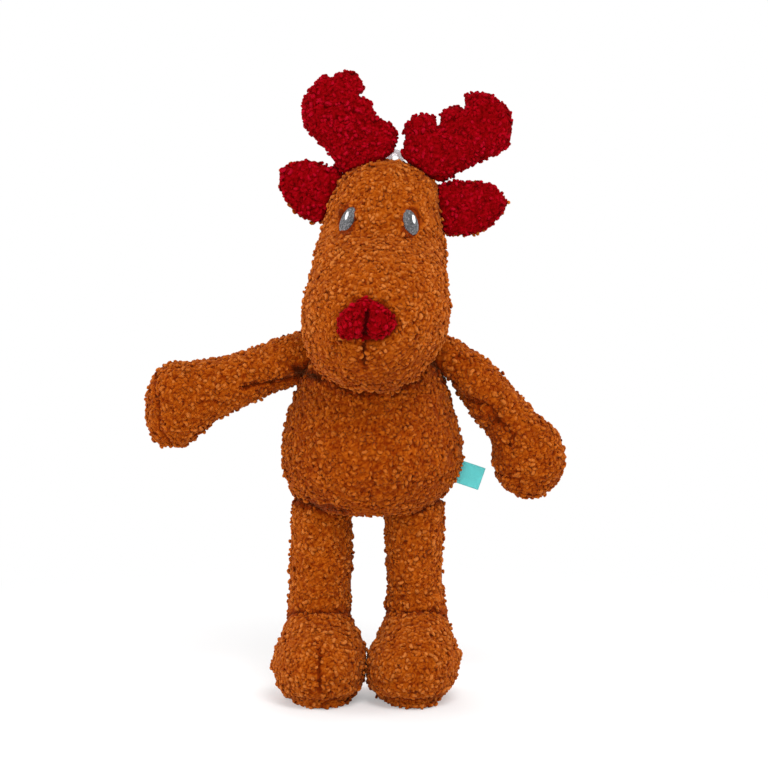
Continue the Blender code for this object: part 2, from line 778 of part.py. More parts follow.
def make_frame():
    """The empties that the moving pieces hang from, each on its joint's axis."""
    torso = new_empty("torso", Matrix.Identity(4))
    frame = {"torso": torso}
    frame["neck"] = new_empty("neck_turn_axis", Matrix.Translation(NECK_PIVOT), torso)
    frame["head"] = new_empty("neck_nod_axis", head_place(), frame["neck"])
    for side, word in ((LEFT, "left"), (RIGHT, "right")):
        shoulder = Matrix.Translation(shoulder_point(side))
        hip = Matrix.Translation(hip_point(side))
        ankle = Matrix.Translation(ankle_point(side))
        frame[f"arm_{word}"] = new_empty(f"shoulder_axis_{word}", shoulder, torso)
        frame[f"leg_{word}"] = new_empty(f"hip_axis_{word}", hip, torso)
        frame[f"foot_{word}"] = new_empty(f"ankle_axis_{word}", ankle, frame[f"leg_{word}"])
        frame[f"ear_{word}"] = new_empty(f"ear_axis_{word}", ear_place(side), frame["head"])
        antler = head_place(antler_root(side))
        frame[f"antler_{word}"] = new_empty(f"antler_axis_{word}", antler, frame["head"])
    frame["label"] = new_empty("label_axis", label_place(), torso)
    return frame


def stand_at_origin():
    """Moves everything so that the middle of the toy's box, at the floor, is the origin."""
    bpy.context.view_layer.update()
    drawn = bpy.context.evaluated_depsgraph_get()
    corners = [
        thing.matrix_world @ Vector(corner)
        for thing in DEER.objects if thing.type == "MESH"
        for corner in thing.evaluated_get(drawn).bound_box
    ]
    middle = [(min(c[i] for c in corners) + max(c[i] for c in corners)) / 2 for i in range(2)]
    for thing in list(DEER.objects) + list(CUTTERS.objects):
        if thing.parent is None:
            thing.location -= Vector((*middle, 0))
    bpy.context.view_layer.update()
    for thing in DEER.objects:
        if thing.type == "EMPTY":
            place = thing.matrix_world.translation
            axes = [[round(value, 4) for value in thing.matrix_world.col[i][:3]] for i in range(3)]
            print(thing.name, [round(value, 5) for value in place], axes)


def main():
    frame = make_frame()
    make_torso(frame)
    make_head(frame)
    frame["trim_room"] = head_form("trim_clearance", -CLEARANCE, FINE_SIDES, frame, is_cutter=True)
    frame["ear_room"] = head_form("ear_clearance", -SEAM_GAP, FINE_SIDES, frame, is_cutter=True)
    frame["antler_room"] = head_form("antler_clearance", -ANTLER_GAP, FINE_SIDES, frame, is_cutter=True)
    frame["label_room"] = torso_form("label_clearance", -SEAM_GAP, FINE_SIDES, is_cutter=True)
    for side, word, droop, lean, turn in (
        (LEFT, "left", ARM_DROOP_LEFT, ANTLER_LEAN_LEFT, FOOT_TURN_LEFT),
        (RIGHT, "right", ARM_DROOP_RIGHT, ANTLER_LEAN_RIGHT, FOOT_TURN_RIGHT),
    ):
        make_ear(side, word, frame)
        make_antler(side, word, lean, frame)
        make_arm(side, word, droop, frame)
        make_leg(side, word, frame)
        make_foot(side, word, turn, frame)
    make_face(frame)
    make_hang_loop(frame)
    make_label(frame)
    stand_at_origin()


main()
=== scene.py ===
"""Looks of the stuffed deer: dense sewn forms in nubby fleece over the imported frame.

Metres, +Z up, the toy faces -Y. Tables are in millimetres, or in the picture's pixels
where they say so.
"""

import itertools
import json
import math

import bmesh
import bpy
import numpy as np
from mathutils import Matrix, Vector
from mathutils.bvhtree import BVHTree

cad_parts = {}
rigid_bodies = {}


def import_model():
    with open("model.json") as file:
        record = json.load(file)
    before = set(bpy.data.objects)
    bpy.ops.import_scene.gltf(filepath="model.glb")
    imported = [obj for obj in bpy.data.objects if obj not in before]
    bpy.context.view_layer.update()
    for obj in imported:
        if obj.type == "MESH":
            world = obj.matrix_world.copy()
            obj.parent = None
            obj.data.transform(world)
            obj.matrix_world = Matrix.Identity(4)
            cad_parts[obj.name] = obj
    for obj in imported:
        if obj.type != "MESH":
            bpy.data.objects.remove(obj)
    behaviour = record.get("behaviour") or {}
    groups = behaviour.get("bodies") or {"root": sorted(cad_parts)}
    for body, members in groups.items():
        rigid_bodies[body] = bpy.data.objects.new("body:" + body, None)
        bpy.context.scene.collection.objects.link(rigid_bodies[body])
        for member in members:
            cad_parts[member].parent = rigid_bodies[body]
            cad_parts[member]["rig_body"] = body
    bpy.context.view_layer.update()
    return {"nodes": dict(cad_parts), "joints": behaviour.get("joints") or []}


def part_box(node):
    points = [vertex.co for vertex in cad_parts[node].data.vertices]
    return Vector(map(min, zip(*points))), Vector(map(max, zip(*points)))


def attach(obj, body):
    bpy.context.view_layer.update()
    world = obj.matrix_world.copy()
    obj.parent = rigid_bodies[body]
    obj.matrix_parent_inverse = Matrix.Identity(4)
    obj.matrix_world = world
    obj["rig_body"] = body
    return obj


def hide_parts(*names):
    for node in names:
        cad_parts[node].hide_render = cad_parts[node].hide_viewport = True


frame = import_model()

MM = 0.001
TAU = math.tau
FAR = 1.0
JOINTS = {joint["name"]: joint for joint in frame["joints"]}
SIDES = (("left", 1), ("right", -1))


def joint_place(name):
    return np.array(JOINTS[name]["pos_m"], float)


def unit(vector):
    vector = np.asarray(vector, float)
    return vector / np.linalg.norm(vector)


def joint_axis(name):
    return unit(JOINTS[name]["axis"])


CAMERA_AIM = np.array((20.2, 0.0, 205.1)) * MM
CAMERA_AWAY = 1.6
CAMERA_LIFT = math.radians(6.0)
FRAME_WIDTH = 0.4866
SENSOR_WIDTH = 36
PICTURE = 768
SIGHT = np.array((0, math.cos(CAMERA_LIFT), -math.sin(CAMERA_LIFT)))
CAMERA_UP = np.array((0, math.sin(CAMERA_LIFT), math.cos(CAMERA_LIFT)))
CAMERA_PLACE = CAMERA_AIM - SIGHT * CAMERA_AWAY


def seen(spots, depth):
    """The places in an upright plane that the camera sees at points of its picture."""
    spots = (np.asarray(spots, float) - PICTURE / 2) / PICTURE * FRAME_WIDTH / CAMERA_AWAY
    rays = SIGHT + spots[:, :1] * (1, 0, 0) - spots[:, 1:] * CAMERA_UP
    reach = (depth - CAMERA_PLACE[1]) / rays[:, 1:2]
    return CAMERA_PLACE + reach * rays


def in_picture(points):
    """Where the camera sees places: across and down in its picture, and how far away."""
    offset = points - CAMERA_PLACE
    away = offset @ SIGHT
    share = PICTURE * CAMERA_AWAY / FRAME_WIDTH / away
    return PICTURE / 2 + offset[:, 0] * share, PICTURE / 2 - (offset @ CAMERA_UP) * share, away


NECK = joint_place("neck_nod")
HEAD_X = joint_axis("neck_nod")
HEAD_Y = unit(np.cross((0, 0, 1), HEAD_X))
HEAD_Z = np.cross(HEAD_X, HEAD_Y)


def in_head(points):
    """Points given in the head's own frame, in millimetres, as places in the world."""
    points = np.atleast_2d(np.asarray(points, float)) * MM
    return NECK + points[:, :1] * HEAD_X + points[:, 1:2] * HEAD_Y + points[:, 2:3] * HEAD_Z


def along_head(ways):
    """World directions in the head's own frame."""
    return np.stack([ways @ HEAD_X, ways @ HEAD_Y, ways @ HEAD_Z], axis=-1)


def to_head(places):
    """Places in the world as points in the head's own frame, in millimetres."""
    return along_head((places - NECK) / MM)


# ---------------------------------------------------------------- number helpers
def spline(xs, ys, x):
    """A smooth curve through a table's points."""
    slope = np.gradient(ys, xs)
    i = np.clip(np.searchsorted(xs, x) - 1, 0, len(xs) - 2)
    h = xs[i + 1] - xs[i]
    t = np.clip((x - xs[i]) / h, 0, 1)
    a = (1 + 2 * t) * (1 - t) ** 2 * ys[i] + t * (1 - t) ** 2 * h * slope[i]
    b = t * t * (3 - 2 * t) * ys[i + 1] - t * t * (1 - t) * h * slope[i + 1]
    return a + b


def smooth_step(low, high, x):
    t = np.clip((x - low) / (high - low), 0, 1)
    return t * t * (3 - 2 * t)


def bell(distance, width):
    return np.exp(-((distance / width) ** 2))


def scrambled(cells, salt):
    """A repeatable value from 0 to 1 for each whole-number cell."""
    c = cells.astype(np.int64)
    n = c[..., 0] * 374761393 + c[..., 1] * 668265263 + c[..., 2] * 2147483647 + salt * 1274126177
    n = (n ^ (n >> 13)) * 1103515245
    n = (n ^ (n >> 16)) * 12345677
    n = n ^ (n >> 15)
    return (n & 0xFFFFFF) / float(0xFFFFFF)


def soft_noise(points, size, salt):
    """Value noise from -1 to 1 with features of the given size."""
    p = points / size
    base = np.floor(p)
    f = p - base
    f = f * f * f * (f * (f * 6 - 15) + 10)
    shares = (1 - f, f)
    total = np.zeros(len(p))
    for dx, dy, dz in itertools.product((0, 1), repeat=3):
        weight = shares[dx][:, 0] * shares[dy][:, 1] * shares[dz][:, 2]
        total += weight * scrambled(base + (dx, dy, dz), salt)
    return total * 2 - 1


def nubs(points, size, salt):
    """Distance to the nearest and the second nearest nub centre, and the nearest nub's own value."""
    p = points / size
    base = np.floor(p)
    near, second = np.full((2, len(p)), 9.0)
    own = np.zeros(len(p))
    for step in itertools.product((-1, 0, 1), repeat=3):
        cell = base + step
        spot = cell + np.stack([scrambled(cell, salt + k) for k in (1, 2, 3)], axis=1)
        away = np.linalg.norm(p - spot, axis=1)
        closer = away < near
        second = np.where(closer, near, np.minimum(second, away))
        own = np.where(closer, scrambled(cell, salt + 4), own)
        near = np.minimum(near, away)
    return near, second, own


# ---------------------------------------------------------------- mesh helpers
def new_object(name, data):
    thing = bpy.data.objects.new(name, data)
    bpy.context.scene.collection.objects.link(thing)
    return thing


def clean_mesh(name, points, faces, merge=None):
    """A mesh whose faces all look outward, with no loose points."""
    mesh = bpy.data.meshes.new(name)
    mesh.from_pydata(np.asarray(points).tolist(), [], faces)
    shape = bmesh.new()
    shape.from_mesh(mesh)
    if merge:
        bmesh.ops.remove_doubles(shape, verts=shape.verts, dist=merge)
    loose = [vert for vert in shape.verts if not vert.link_faces]
    bmesh.ops.delete(shape, geom=loose, context="VERTS")
    bmesh.ops.recalc_face_normals(shape, faces=shape.faces)
    shape.to_mesh(mesh)
    shape.free()
    return mesh


def ring_faces(rings, sides):
    """The quads between neighbouring rings of points."""
    return [
        (i * sides + j, i * sides + (j + 1) % sides, (i + 1) * sides + (j + 1) % sides, (i + 1) * sides + j)
        for i, j in itertools.product(range(rings - 1), range(sides))
    ]


def upright(table, steps, centre, sides, power=1.0):
    """Level rings from rows of height, half width, half depth and forward, closed at both ends."""
    level, half_width, half_depth, forward = np.asarray(table, float).T
    heights = np.interp(np.linspace(0, 1, steps), np.linspace(0, 1, len(level)), level)
    wide = np.maximum(spline(level, half_width, heights), 0.05)
    deep = np.maximum(spline(level, half_depth, heights), 0.05)
    middles = centre[1] - spline(level, forward, heights)
    angle = np.arange(sides) / sides * TAU
    cos = np.sign(np.cos(angle)) * np.abs(np.cos(angle)) ** power
    sin = np.sign(np.sin(angle)) * np.abs(np.sin(angle)) ** power
    rings = np.broadcast_arrays(
        centre[0] + wide[:, None] * cos, middles[:, None] + deep[:, None] * sin, heights[:, None],
    )
    ends = [(centre[0], middles[i], heights[i]) for i in (0, -1)]
    points = np.concatenate([np.stack(rings, axis=-1).reshape(-1, 3), ends])
    faces = ring_faces(steps, sides)
    first, last, top = steps * sides, steps * sides + 1, (steps - 1) * sides
    for j in range(sides):
        k = (j + 1) % sides
        faces += [(first, k, j), (last, top + j, top + k)]
    return points, faces


def rounded(outline, steps=6):
    """A closed outline with a smooth curve through its points."""
    outline = np.asarray(outline, float)
    a, b, c, d = (np.roll(outline, shift, 0)[:, None, :] for shift in (1, 0, -1, -2))
    t = (np.arange(steps) / steps)[None, :, None]
    curve = 0.5 * (
        2 * b + (c - a) * t + (2 * a - 5 * b + 4 * c - d) * t ** 2 + (3 * b - a - 3 * c + d) * t ** 3
    )
    return curve.reshape(-1, 2)


SWELL_ROUNDS = 700


def pouch(outline, half_thick, fullness, step):
    """A form blown up from a flat outline, in millimetres: (across, up, through) points and faces."""
    outline = rounded(outline)
    low = outline.min(0) - 2 * step
    columns, rows = np.ceil((outline.max(0) + 2 * step - low) / step).astype(int) + 1
    u = low[0] + np.arange(columns) * step
    v = low[1] + np.arange(rows) * step
    gu, gv = np.meshgrid(u, v, indexing="ij")
    inside = np.zeros(gu.shape, bool)
    for (ua, va), (ub, vb) in zip(outline, np.roll(outline, -1, 0)):
        if va != vb:
            crosses = (va > gv) != (vb > gv)
            inside ^= crosses & (gu < (ub - ua) * (gv - va) / (vb - va) + ua)
    swell = np.zeros(gu.shape)
    for _ in range(SWELL_ROUNDS):
        around = np.roll(swell, 1, 0) + np.roll(swell, -1, 0) + np.roll(swell, 1, 1) + np.roll(swell, -1, 1)
        swell = np.where(inside, (around + step * step) / 4, 0)
    lift = np.sqrt(2 * swell)
    lift = half_thick * (lift / lift.max()) ** fullness
    points = np.concatenate([np.stack([gu, gv, lift * side], axis=-1).reshape(-1, 3) for side in (-1, 1)])
    number = np.arange(columns * rows).reshape(columns, rows)
    whole = inside[:-1, :-1] & inside[1:, :-1] & inside[:-1, 1:] & inside[1:, 1:]
    corners = number[:-1, :-1], number[1:, :-1], number[1:, 1:], number[:-1, 1:]
    cells = np.stack([corner[whole] for corner in corners], axis=1)
    top = columns * rows
    edges = {}
    for cell in cells.tolist():
        for edge in zip(cell, cell[1:] + cell[:1]):
            if edge[::-1] in edges:
                del edges[edge[::-1]]
            else:
                edges[edge] = True
    faces = cells[:, ::-1].tolist() + (cells + top).tolist()
    faces += [[one, two, two + top, one + top] for one, two in edges]
    return points, faces


def from_picture(outline, depth, half_thick, fullness, step, drop=0.0, behind=0.0):
    """A pouch in the upright plane at a depth, with its outline where the camera sees it."""
    flat = seen(outline, depth)[:, (0, 2)] / MM - (0, drop)
    points, faces = pouch(flat, half_thick, fullness, step)
    return np.stack([points[:, 0], depth / MM + behind - points[:, 2], points[:, 1]], axis=1) * MM, faces


EASE = 0.5
SETTLE_ROUNDS = 6


def fuse(name, forms, voxel, blend_voxel=None, blend_rounds=0):
    """Joins closed forms into one dense skin whose creases are eased. Sizes in millimetres."""
    points, faces, start = [], [], 0
    for some_points, some_faces in forms:
        points.append(some_points)
        faces += [tuple(i + start for i in face) for face in some_faces]
        start += len(some_points)
    mesh = clean_mesh(name, np.concatenate(points), faces)
    thing = new_object(name, mesh)

    def remesh(size, rounds):
        grid = thing.modifiers.new("remesh", "REMESH")
        grid.mode = "VOXEL"
        grid.voxel_size = size * MM
        ease = thing.modifiers.new("ease", "SMOOTH")
        ease.factor = EASE
        ease.iterations = rounds

    if blend_voxel:
        remesh(blend_voxel, blend_rounds)
        round_off = thing.modifiers.new("round", "SUBSURF")
        round_off.levels = round_off.render_levels = 1
    remesh(voxel, SETTLE_ROUNDS)
    drawn = thing.evaluated_get(bpy.context.evaluated_depsgraph_get())
    dense = bpy.data.meshes.new_from_object(drawn)
    thing.modifiers.clear()
    thing.data = dense
    bpy.data.meshes.remove(mesh)
    dense.name = name
    dense.shade_smooth()
    return thing


def numbers_of(data, key, width=3):
    """A table of numbers that Blender keeps for each item of its data."""
    values = np.empty(len(data) * width, np.float32)
    data.foreach_get(key, values)
    return values.reshape(-1, width).astype(float)


def points_of(thing):
    return numbers_of(thing.data.vertices, "co")


def normals_of(thing):
    return numbers_of(thing.data.vertex_normals, "vector")


def set_points(thing, points):
    thing.data.vertices.foreach_set("co", points.astype(np.float32).ravel())
    thing.data.update()


def store(thing, name, values):
    attribute = thing.data.attributes.get(name) or thing.data.attributes.new(name, "FLOAT", "POINT")
    attribute.data.foreach_set("value", values.astype(np.float32))


def away_from_line(points, line):
    """Distance of each point from a line of straight stretches."""
    line = np.asarray(line, float)
    least = np.full(len(points), 1e9)
    for a, b in zip(line, line[1:]):
        d = b - a
        t = np.clip(((points - a) @ d) / (d @ d), 0, 1)
        least = np.minimum(least, np.linalg.norm(points - (a + t[:, None] * d), axis=1))
    return least


def away_from_seam(thing, line, depth):
    """Distance of a skin's points from a line of the picture, taken in the upright plane at a depth."""
    return away_from_line(points_of(thing)[:, (0, 2)], seen(line, depth)[:, (0, 2)])


def press(thing, distance, width, depth):
    """Sinks a sewn line into a form: a narrow valley with soft shoulders. Sizes in millimetres."""
    valley = bell(distance, width * MM)
    set_points(thing, points_of(thing) - normals_of(thing) * (valley * depth * MM)[:, None])
    return valley


# In the picture's pixels: what the nubs add at a rim, the step of the rows, and where the fit fades out
NUB_ROOM = 1.7
ROW_STEP = 2.0
EDGE_FADE = 8


def fit_edges(thing, edges, most=9.0):
    """Draws a skin sideways until its rims stand where the picture has them: rows of down, left, right."""
    level, wanted_left, wanted_right = np.asarray(edges, float).T
    points = points_of(thing)
    across, down, away = in_picture(points)
    rows = np.arange(level[0] - ROW_STEP, level[-1] + 1.5 * ROW_STEP, ROW_STEP)
    which = np.clip(np.round((down - rows[0]) / ROW_STEP).astype(int), 0, len(rows) - 1)
    near = np.abs(down - rows[which]) <= ROW_STEP / 2
    left, right = np.full(len(rows), 1e6), np.full(len(rows), -1e6)
    np.minimum.at(left, which[near], across[near])
    np.maximum.at(right, which[near], across[near])
    found = right > left
    kernel = np.ones(3) / 3
    have_left, have_right = (
        np.interp(down, rows, np.convolve(
            np.pad(np.interp(rows, rows[found], rim[found]), 1, mode="edge"), kernel, "valid",
        ))
        for rim in (left, right)
    )
    want_left = np.interp(down, level, wanted_left) + NUB_ROOM
    want_right = np.interp(down, level, wanted_right) - NUB_ROOM
    share = np.clip((across - have_left) / np.maximum(have_right - have_left, 1.0), 0, 1)
    shift = (1 - share) * (want_left - have_left) + share * (want_right - have_right)
    held = smooth_step(level[0] - EDGE_FADE, level[0], down)
    held = held * (1 - smooth_step(level[-1], level[-1] + EDGE_FADE, down))
    points[:, 0] += np.clip(shift, -most, most) * held * away * FRAME_WIDTH / CAMERA_AWAY / PICTURE
    set_points(thing, points)


KEEP_GAP = 0.7
KEEP_REACH = 4 * MM


def keep_off(thing, name):
    """Holds a skin clear of the filling that it covers."""
    core = frame["nodes"][name]
    places = [core.matrix_world @ vert.co for vert in core.data.vertices]
    tree = BVHTree.FromPolygons(places, [tuple(polygon.vertices) for polygon in core.data.polygons])
    points = points_of(thing)
    for i, point in enumerate(points):
        spot = Vector(point)
        place, facing, _, _ = tree.find_nearest(spot, KEEP_REACH)
        if place is not None and (spot - place).dot(facing) < KEEP_GAP * MM:
            points[i] = place + facing * KEEP_GAP * MM
    set_points(thing, points)


# ---------------------------------------------------------------- fleece
# Each skin with its salt, its pile and its darkening, which is painted shade and darker seams
SKINS = []
# Sizes of the nubs, of the curls and locks across them, and of the form's own unevenness
NUB_SIZE = 2.9
CURL_SIZE = 1.35
LOCK_SIZE = 2.1
BROAD_SIZE = 17.0
BILLOW_SIZE = 8.0
# The rise that leaves a spot where it was, and the height in millimetres that the relief adds
LEVEL_RISE = 0.42
RELIEF = 2.1
BROAD_RELIEF = 0.35
# Size, salts and strength of the noises that bend the nubs out of line
WARPS = ((3.4, (11, 12, 13), 1.25), (1.7, (21, 22, 23), 0.45))


def fleece(thing, salt, height=1.0, calm=1.0, dark=0.0):
    """Raises nubby curls on a form and stores how high each spot is, with painted light and shade: lighter on the
    nubs' tips, darker in the gaps between them and where a darkening is given.
    """
    points = points_of(thing)
    normals = normals_of(thing)
    mm = bent = points / MM
    for size, salts, strength in WARPS:
        bent = bent + np.stack([soft_noise(mm, size, salt + k) for k in salts], axis=1) * strength
    near, second, own = nubs(bent, NUB_SIZE, salt)
    lump = np.clip(1.05 - near, 0, 1) ** 0.8
    gap = smooth_step(0.0, 0.32, second - near)
    curl = 1 - np.abs(soft_noise(bent, CURL_SIZE, salt + 31)) * 1.6
    lock = 1 - np.abs(soft_noise(bent + 40, LOCK_SIZE, salt + 32)) * 1.5
    rise = 0.50 * lump * (0.55 + 0.45 * gap) + 0.22 * np.clip(curl, 0, 1) + 0.28 * np.clip(lock, 0, 1)
    rise *= 0.82 + 0.36 * own
    broad = soft_noise(mm, BROAD_SIZE, salt + 41) * 0.5 + soft_noise(mm, BILLOW_SIZE, salt + 42) * 0.5
    amount = height * (np.ones(len(mm)) * calm)
    lift = (rise - LEVEL_RISE) * RELIEF * amount + broad * BROAD_RELIEF * np.minimum(amount, 1)
    set_points(thing, points + normals * (lift * MM)[:, None])
    # Painted light and shade: the higher a nub rises, the lighter its colour, so the gaps between nubs get painted
    # shade
    light = np.clip(rise * 0.85, 0, 1) * (0.35 + 0.65 * np.clip(amount, 0, 1))
    store(thing, "nap", light * (1 - np.clip(dark, 0, 1)))
    store(thing, "tone", np.clip(0.5 + 0.28 * broad + 0.44 * (own - 0.5), 0, 1))
    SKINS.append((thing, salt, amount, np.clip(dark * np.ones(len(points)), 0, 1)))


def wall_of(thing):
    """A search tree of a piece's faces, with the piece's low and high corners."""
    points = points_of(thing)
    polygons = [tuple(polygon.vertices) for polygon in thing.data.polygons]
    return BVHTree.FromPolygons(points.tolist(), polygons), points.min(0), points.max(0)


def paint_shade(index, share):
    """Paints shade: takes a share off a skin's stored light, and keeps it for the curls that stand there."""
    thing, salt, amount, dark = SKINS[index]
    nap = numbers_of(thing.data.attributes["nap"].data, "value", 1)[:, 0]
    store(thing, "nap", nap * (1 - share))
    SKINS[index] = (thing, salt, amount, np.maximum(dark, share))


# Reach in millimetres and strength of the broad and the close painted shade of a crease
CREASE_SHADES = ((4.8, 0.42), (3.0, 0.70))


def paint_crease_shade(walls):
    """Paints shade into the pile where two pieces press on each other."""
    reach = CREASE_SHADES[0][0]
    for index, (thing, _, _, _) in enumerate(SKINS):
        points = points_of(thing)
        near = np.full(len(points), reach)
        for name, (tree, low, high) in walls.items():
            if name == thing.name:
                continue
            close = np.all((points > low - reach * MM) & (points < high + reach * MM), axis=1)
            for i in np.flatnonzero(close):
                distance = tree.find_nearest(Vector(points[i]), reach * MM)[3]
                if distance is not None:
                    near[i] = min(near[i], distance / MM)
        paint_shade(index, np.max([most * smooth_step(0.0, 1.0, 1 - near / far) for far, most in CREASE_SHADES], axis=0))


# Painted shade in deep folds between pieces, in the picture: the skins, the fold's line, its width and its strength
PAINTED_FOLD_SHADES = (
    (("arm_right_skin", "torso_skin"), ((295, 369), (308, 374), (321, 378)), 6.0, 1.0),
    (("arm_left_skin", "torso_skin"), ((432, 363), (440, 373), (446, 384)), 4.5, 0.95),
    (("torso_skin",), ((318, 378), (340, 390), (366, 394), (395, 391), (422, 381)), 4.5, 0.60),
    (("torso_skin", "leg_right_skin"), ((298, 502), (322, 507), (346, 511)), 4.5, 0.75),
)


def paint_fold_shade():
    """Paints shade into the pile deep in the folds, on the sides that face the camera."""
    for index, (thing, _, _, _) in enumerate(SKINS):
        spots = np.stack(in_picture(points_of(thing))[:2], axis=1)
        facing = smooth_step(0.0, 0.3, -(normals_of(thing) @ SIGHT))
        fold = np.zeros(len(spots))
        for names, line, width, strength in PAINTED_FOLD_SHADES:
            if thing.name in names:
                fold = np.maximum(fold, strength * facing * bell(away_from_line(spots, line), width))
        paint_shade(index, fold)


# ---------------------------------------------------------------- curls
# Corners round a curl's tube, steps along it, and how slim its ends are
CURL_SIDES = 6
CURL_STEPS = 5
CURL_TIP = 0.52
# The room a curl keeps, the side of the cell it has to itself and its size, in millimetres
CURL_ROOM = 1.5
CURL_CELL = 3.65
CURL_THICK = 1.48
# The most curls in one piece, and the least pile that carries any
MOST_CURLS = 2850
LEAST_PILE = 0.55
CELL_KEYS = np.array((1, 4099, 4099 * 4099))
# How near a wall counts, and how far and from how high above the skin a curl looks for one, in metres
WALL_REACH = 4 * MM
LOOK_OUT = 60 * MM
LOOK_FROM = 0.0004
# The least height above the floor, in millimetres
FLOOR_CLEAR = 0.15


def is_free(spot, way, walls):
    """Whether a curl has room there: not inside another piece and not against one."""
    place, up = Vector(spot), Vector(way)
    for tree, _, _ in walls:
        _, face_normal, _, _ = tree.ray_cast(place, up, LOOK_OUT)
        if face_normal is not None and face_normal.dot(up) > 0:
            return False
        if tree.find_nearest(place, CURL_ROOM * MM)[0] is not None:
            return False
    return True


def curl_spots(thing, points, normals, amount, draw, walls):
    """One point of each small cell of a skin, where the pile is high and nothing is in the way."""
    order = draw.permutation(len(points))
    cells = np.floor(points[order] / (CURL_CELL * MM)).astype(np.int64)
    _, first = np.unique(cells @ CELL_KEYS, return_index=True)
    chosen = np.sort(order[first])
    chosen = chosen[amount[chosen] > LEAST_PILE]
    low, high = points.min(0), points.max(0)
    near_walls = [
        wall for name, wall in walls.items()
        if name != thing.name and np.all(wall[1] - WALL_REACH < high) and np.all(low - WALL_REACH < wall[2])
    ]
    return np.array([
        i for i in chosen if is_free(points[i] + normals[i] * LOOK_FROM, normals[i], near_walls)
    ])


def curl_faces():
    """The quads of one curl's tube and of its two ends."""
    faces = ring_faces(CURL_STEPS + 1, CURL_SIDES)
    end = CURL_STEPS * CURL_SIDES
    faces += [(3, 2, 1, 0), (5, 4, 3, 0), (end, end + 1, end + 2, end + 3), (end, end + 3, end + 4, end + 5)]
    return np.array(faces)[:, ::-1]


def curl_places(centre, up, draw):
    """The rings of points of one short bent tube of yarn for each place of a skin."""
    count = len(centre)

    def drawn(low, high):
        return draw.uniform(low, high, count)[:, None]

    first_way = np.cross(up, draw.normal(size=(count, 3)))
    first_way /= np.linalg.norm(first_way, axis=1)[:, None]
    second_way = np.cross(up, first_way)
    tilt = drawn(-1.0, 1.0)
    axis = up * np.cos(tilt) + second_way * np.sin(tilt)
    second_way = np.cross(axis, first_way)
    radius = CURL_THICK * drawn(0.70, 1.15)
    thick = CURL_THICK * drawn(0.62, 0.86)
    start = drawn(0, TAU)
    sweep = drawn(1.7, 3.6)
    pitch = drawn(-0.25, 0.25)
    path = centre + up * drawn(-0.85, -0.05) * MM
    rings = []
    for k in range(CURL_STEPS + 1):
        angle = start + sweep * k / CURL_STEPS
        out = first_way * np.cos(angle) + second_way * np.sin(angle)
        middle = path + (out * radius + axis * pitch * (angle - start)) * MM
        slim = CURL_TIP if k in (0, CURL_STEPS) else 1.0
        for j in range(CURL_SIDES):
            turn = TAU * j / CURL_SIDES
            rings.append(middle + (out * math.cos(turn) + axis * math.sin(turn)) * thick * slim * MM)
    places = np.stack(rings, axis=1)
    places[..., 2] = np.maximum(places[..., 2], FLOOR_CLEAR * MM)
    return places


def curl_mesh(name, places):
    """One mesh of all the curls whose rings are given."""
    count, each = places.shape[:2]
    faces = (curl_faces()[None] + (np.arange(count) * each)[:, None, None]).reshape(-1, 4)
    mesh = bpy.data.meshes.new(name)
    mesh.vertices.add(count * each)
    mesh.vertices.foreach_set("co", places.astype(np.float32).ravel())
    mesh.loops.add(faces.size)
    mesh.loops.foreach_set("vertex_index", faces.astype(np.int32).ravel())
    mesh.polygons.add(len(faces))
    mesh.polygons.foreach_set("loop_start", np.arange(len(faces), dtype=np.int32) * 4)
    mesh.update(calc_edges=True)
    mesh.shade_smooth()
    return mesh


def add_curls(thing, salt, amount, dark, walls):
    """Small curls of yarn that stand on a skin, in pieces of a few thousand."""
    draw = np.random.default_rng(salt)
    points, normals = points_of(thing), normals_of(thing)
    chosen = curl_spots(thing, points, normals, amount, draw, walls)
    centre, up, shade = points[chosen], normals[chosen], dark[chosen]
    places = curl_places(centre, up, draw)
    count, each = places.shape[:2]
    tone = draw.uniform(0.0, 1.0, count)
    height = np.einsum("nij,nj->ni", places - centre[:, None, :], up) / MM
    # Painted light and shade: the higher a point stands, the lighter it is, and curls in painted shade are darker as a
    # whole
    nap = np.clip(0.30 + 0.32 * height, 0.06, 0.80) * (1 - 0.8 * shade - 0.18 * shade ** 2)[:, None]
    made = []
    for part, batch in enumerate(np.array_split(np.arange(count), max(1, math.ceil(count / MOST_CURLS)))):
        name = thing.name.replace("_skin", f"_curls_{part + 1}")
        curls = new_object(name, curl_mesh(name, places[batch]))
        store(curls, "nap", nap[batch].ravel())
        store(curls, "tone", np.repeat(tone[batch], each))
        made.append(curls)
    return made


# ---------------------------------------------------------------- materials
WHITE = (1, 1, 1, 1)


def node(tree, kind, inputs=(), **values):
    """A new shader node, with some of its settings and the constants of its inputs."""
    made = tree.nodes.new("ShaderNode" + kind)
    made.location = (220 * len(tree.nodes) - 2400, 0)
    for key, value in values.items():
        setattr(made, key, value)
    for key, value in dict(inputs).items():
        made.inputs[key].default_value = value
    return made


def wire(tree, *links):
    """Links nodes by rows of node, output, node, input."""
    for start, output, end, entry in links:
        tree.links.new(start.outputs[output], end.inputs[entry])


def material_of(name, finish):
    """A material, with the constants of its shader's own sockets."""
    material = bpy.data.materials.new(name)
    material.use_nodes = True
    shader = material.node_tree.nodes["Principled BSDF"]
    for key, value in finish.items():
        shader.inputs[key].default_value = value
    return material, material.node_tree, shader


def ramp_of(tree, stops):
    """A colour ramp through rows of position and colour."""
    ramp = node(tree, "ValToRGB")
    elements = ramp.color_ramp.elements
    for element, (position, colour) in zip((elements[0], elements[1]), (stops[0], stops[-1])):
        element.position = position
        element.color = (*colour, 1)
    for position, colour in stops[1:-1]:
        elements.new(position).color = (*colour, 1)
    return ramp


FLEECE_STOPS = (0.0, 0.20, 0.52, 0.92)


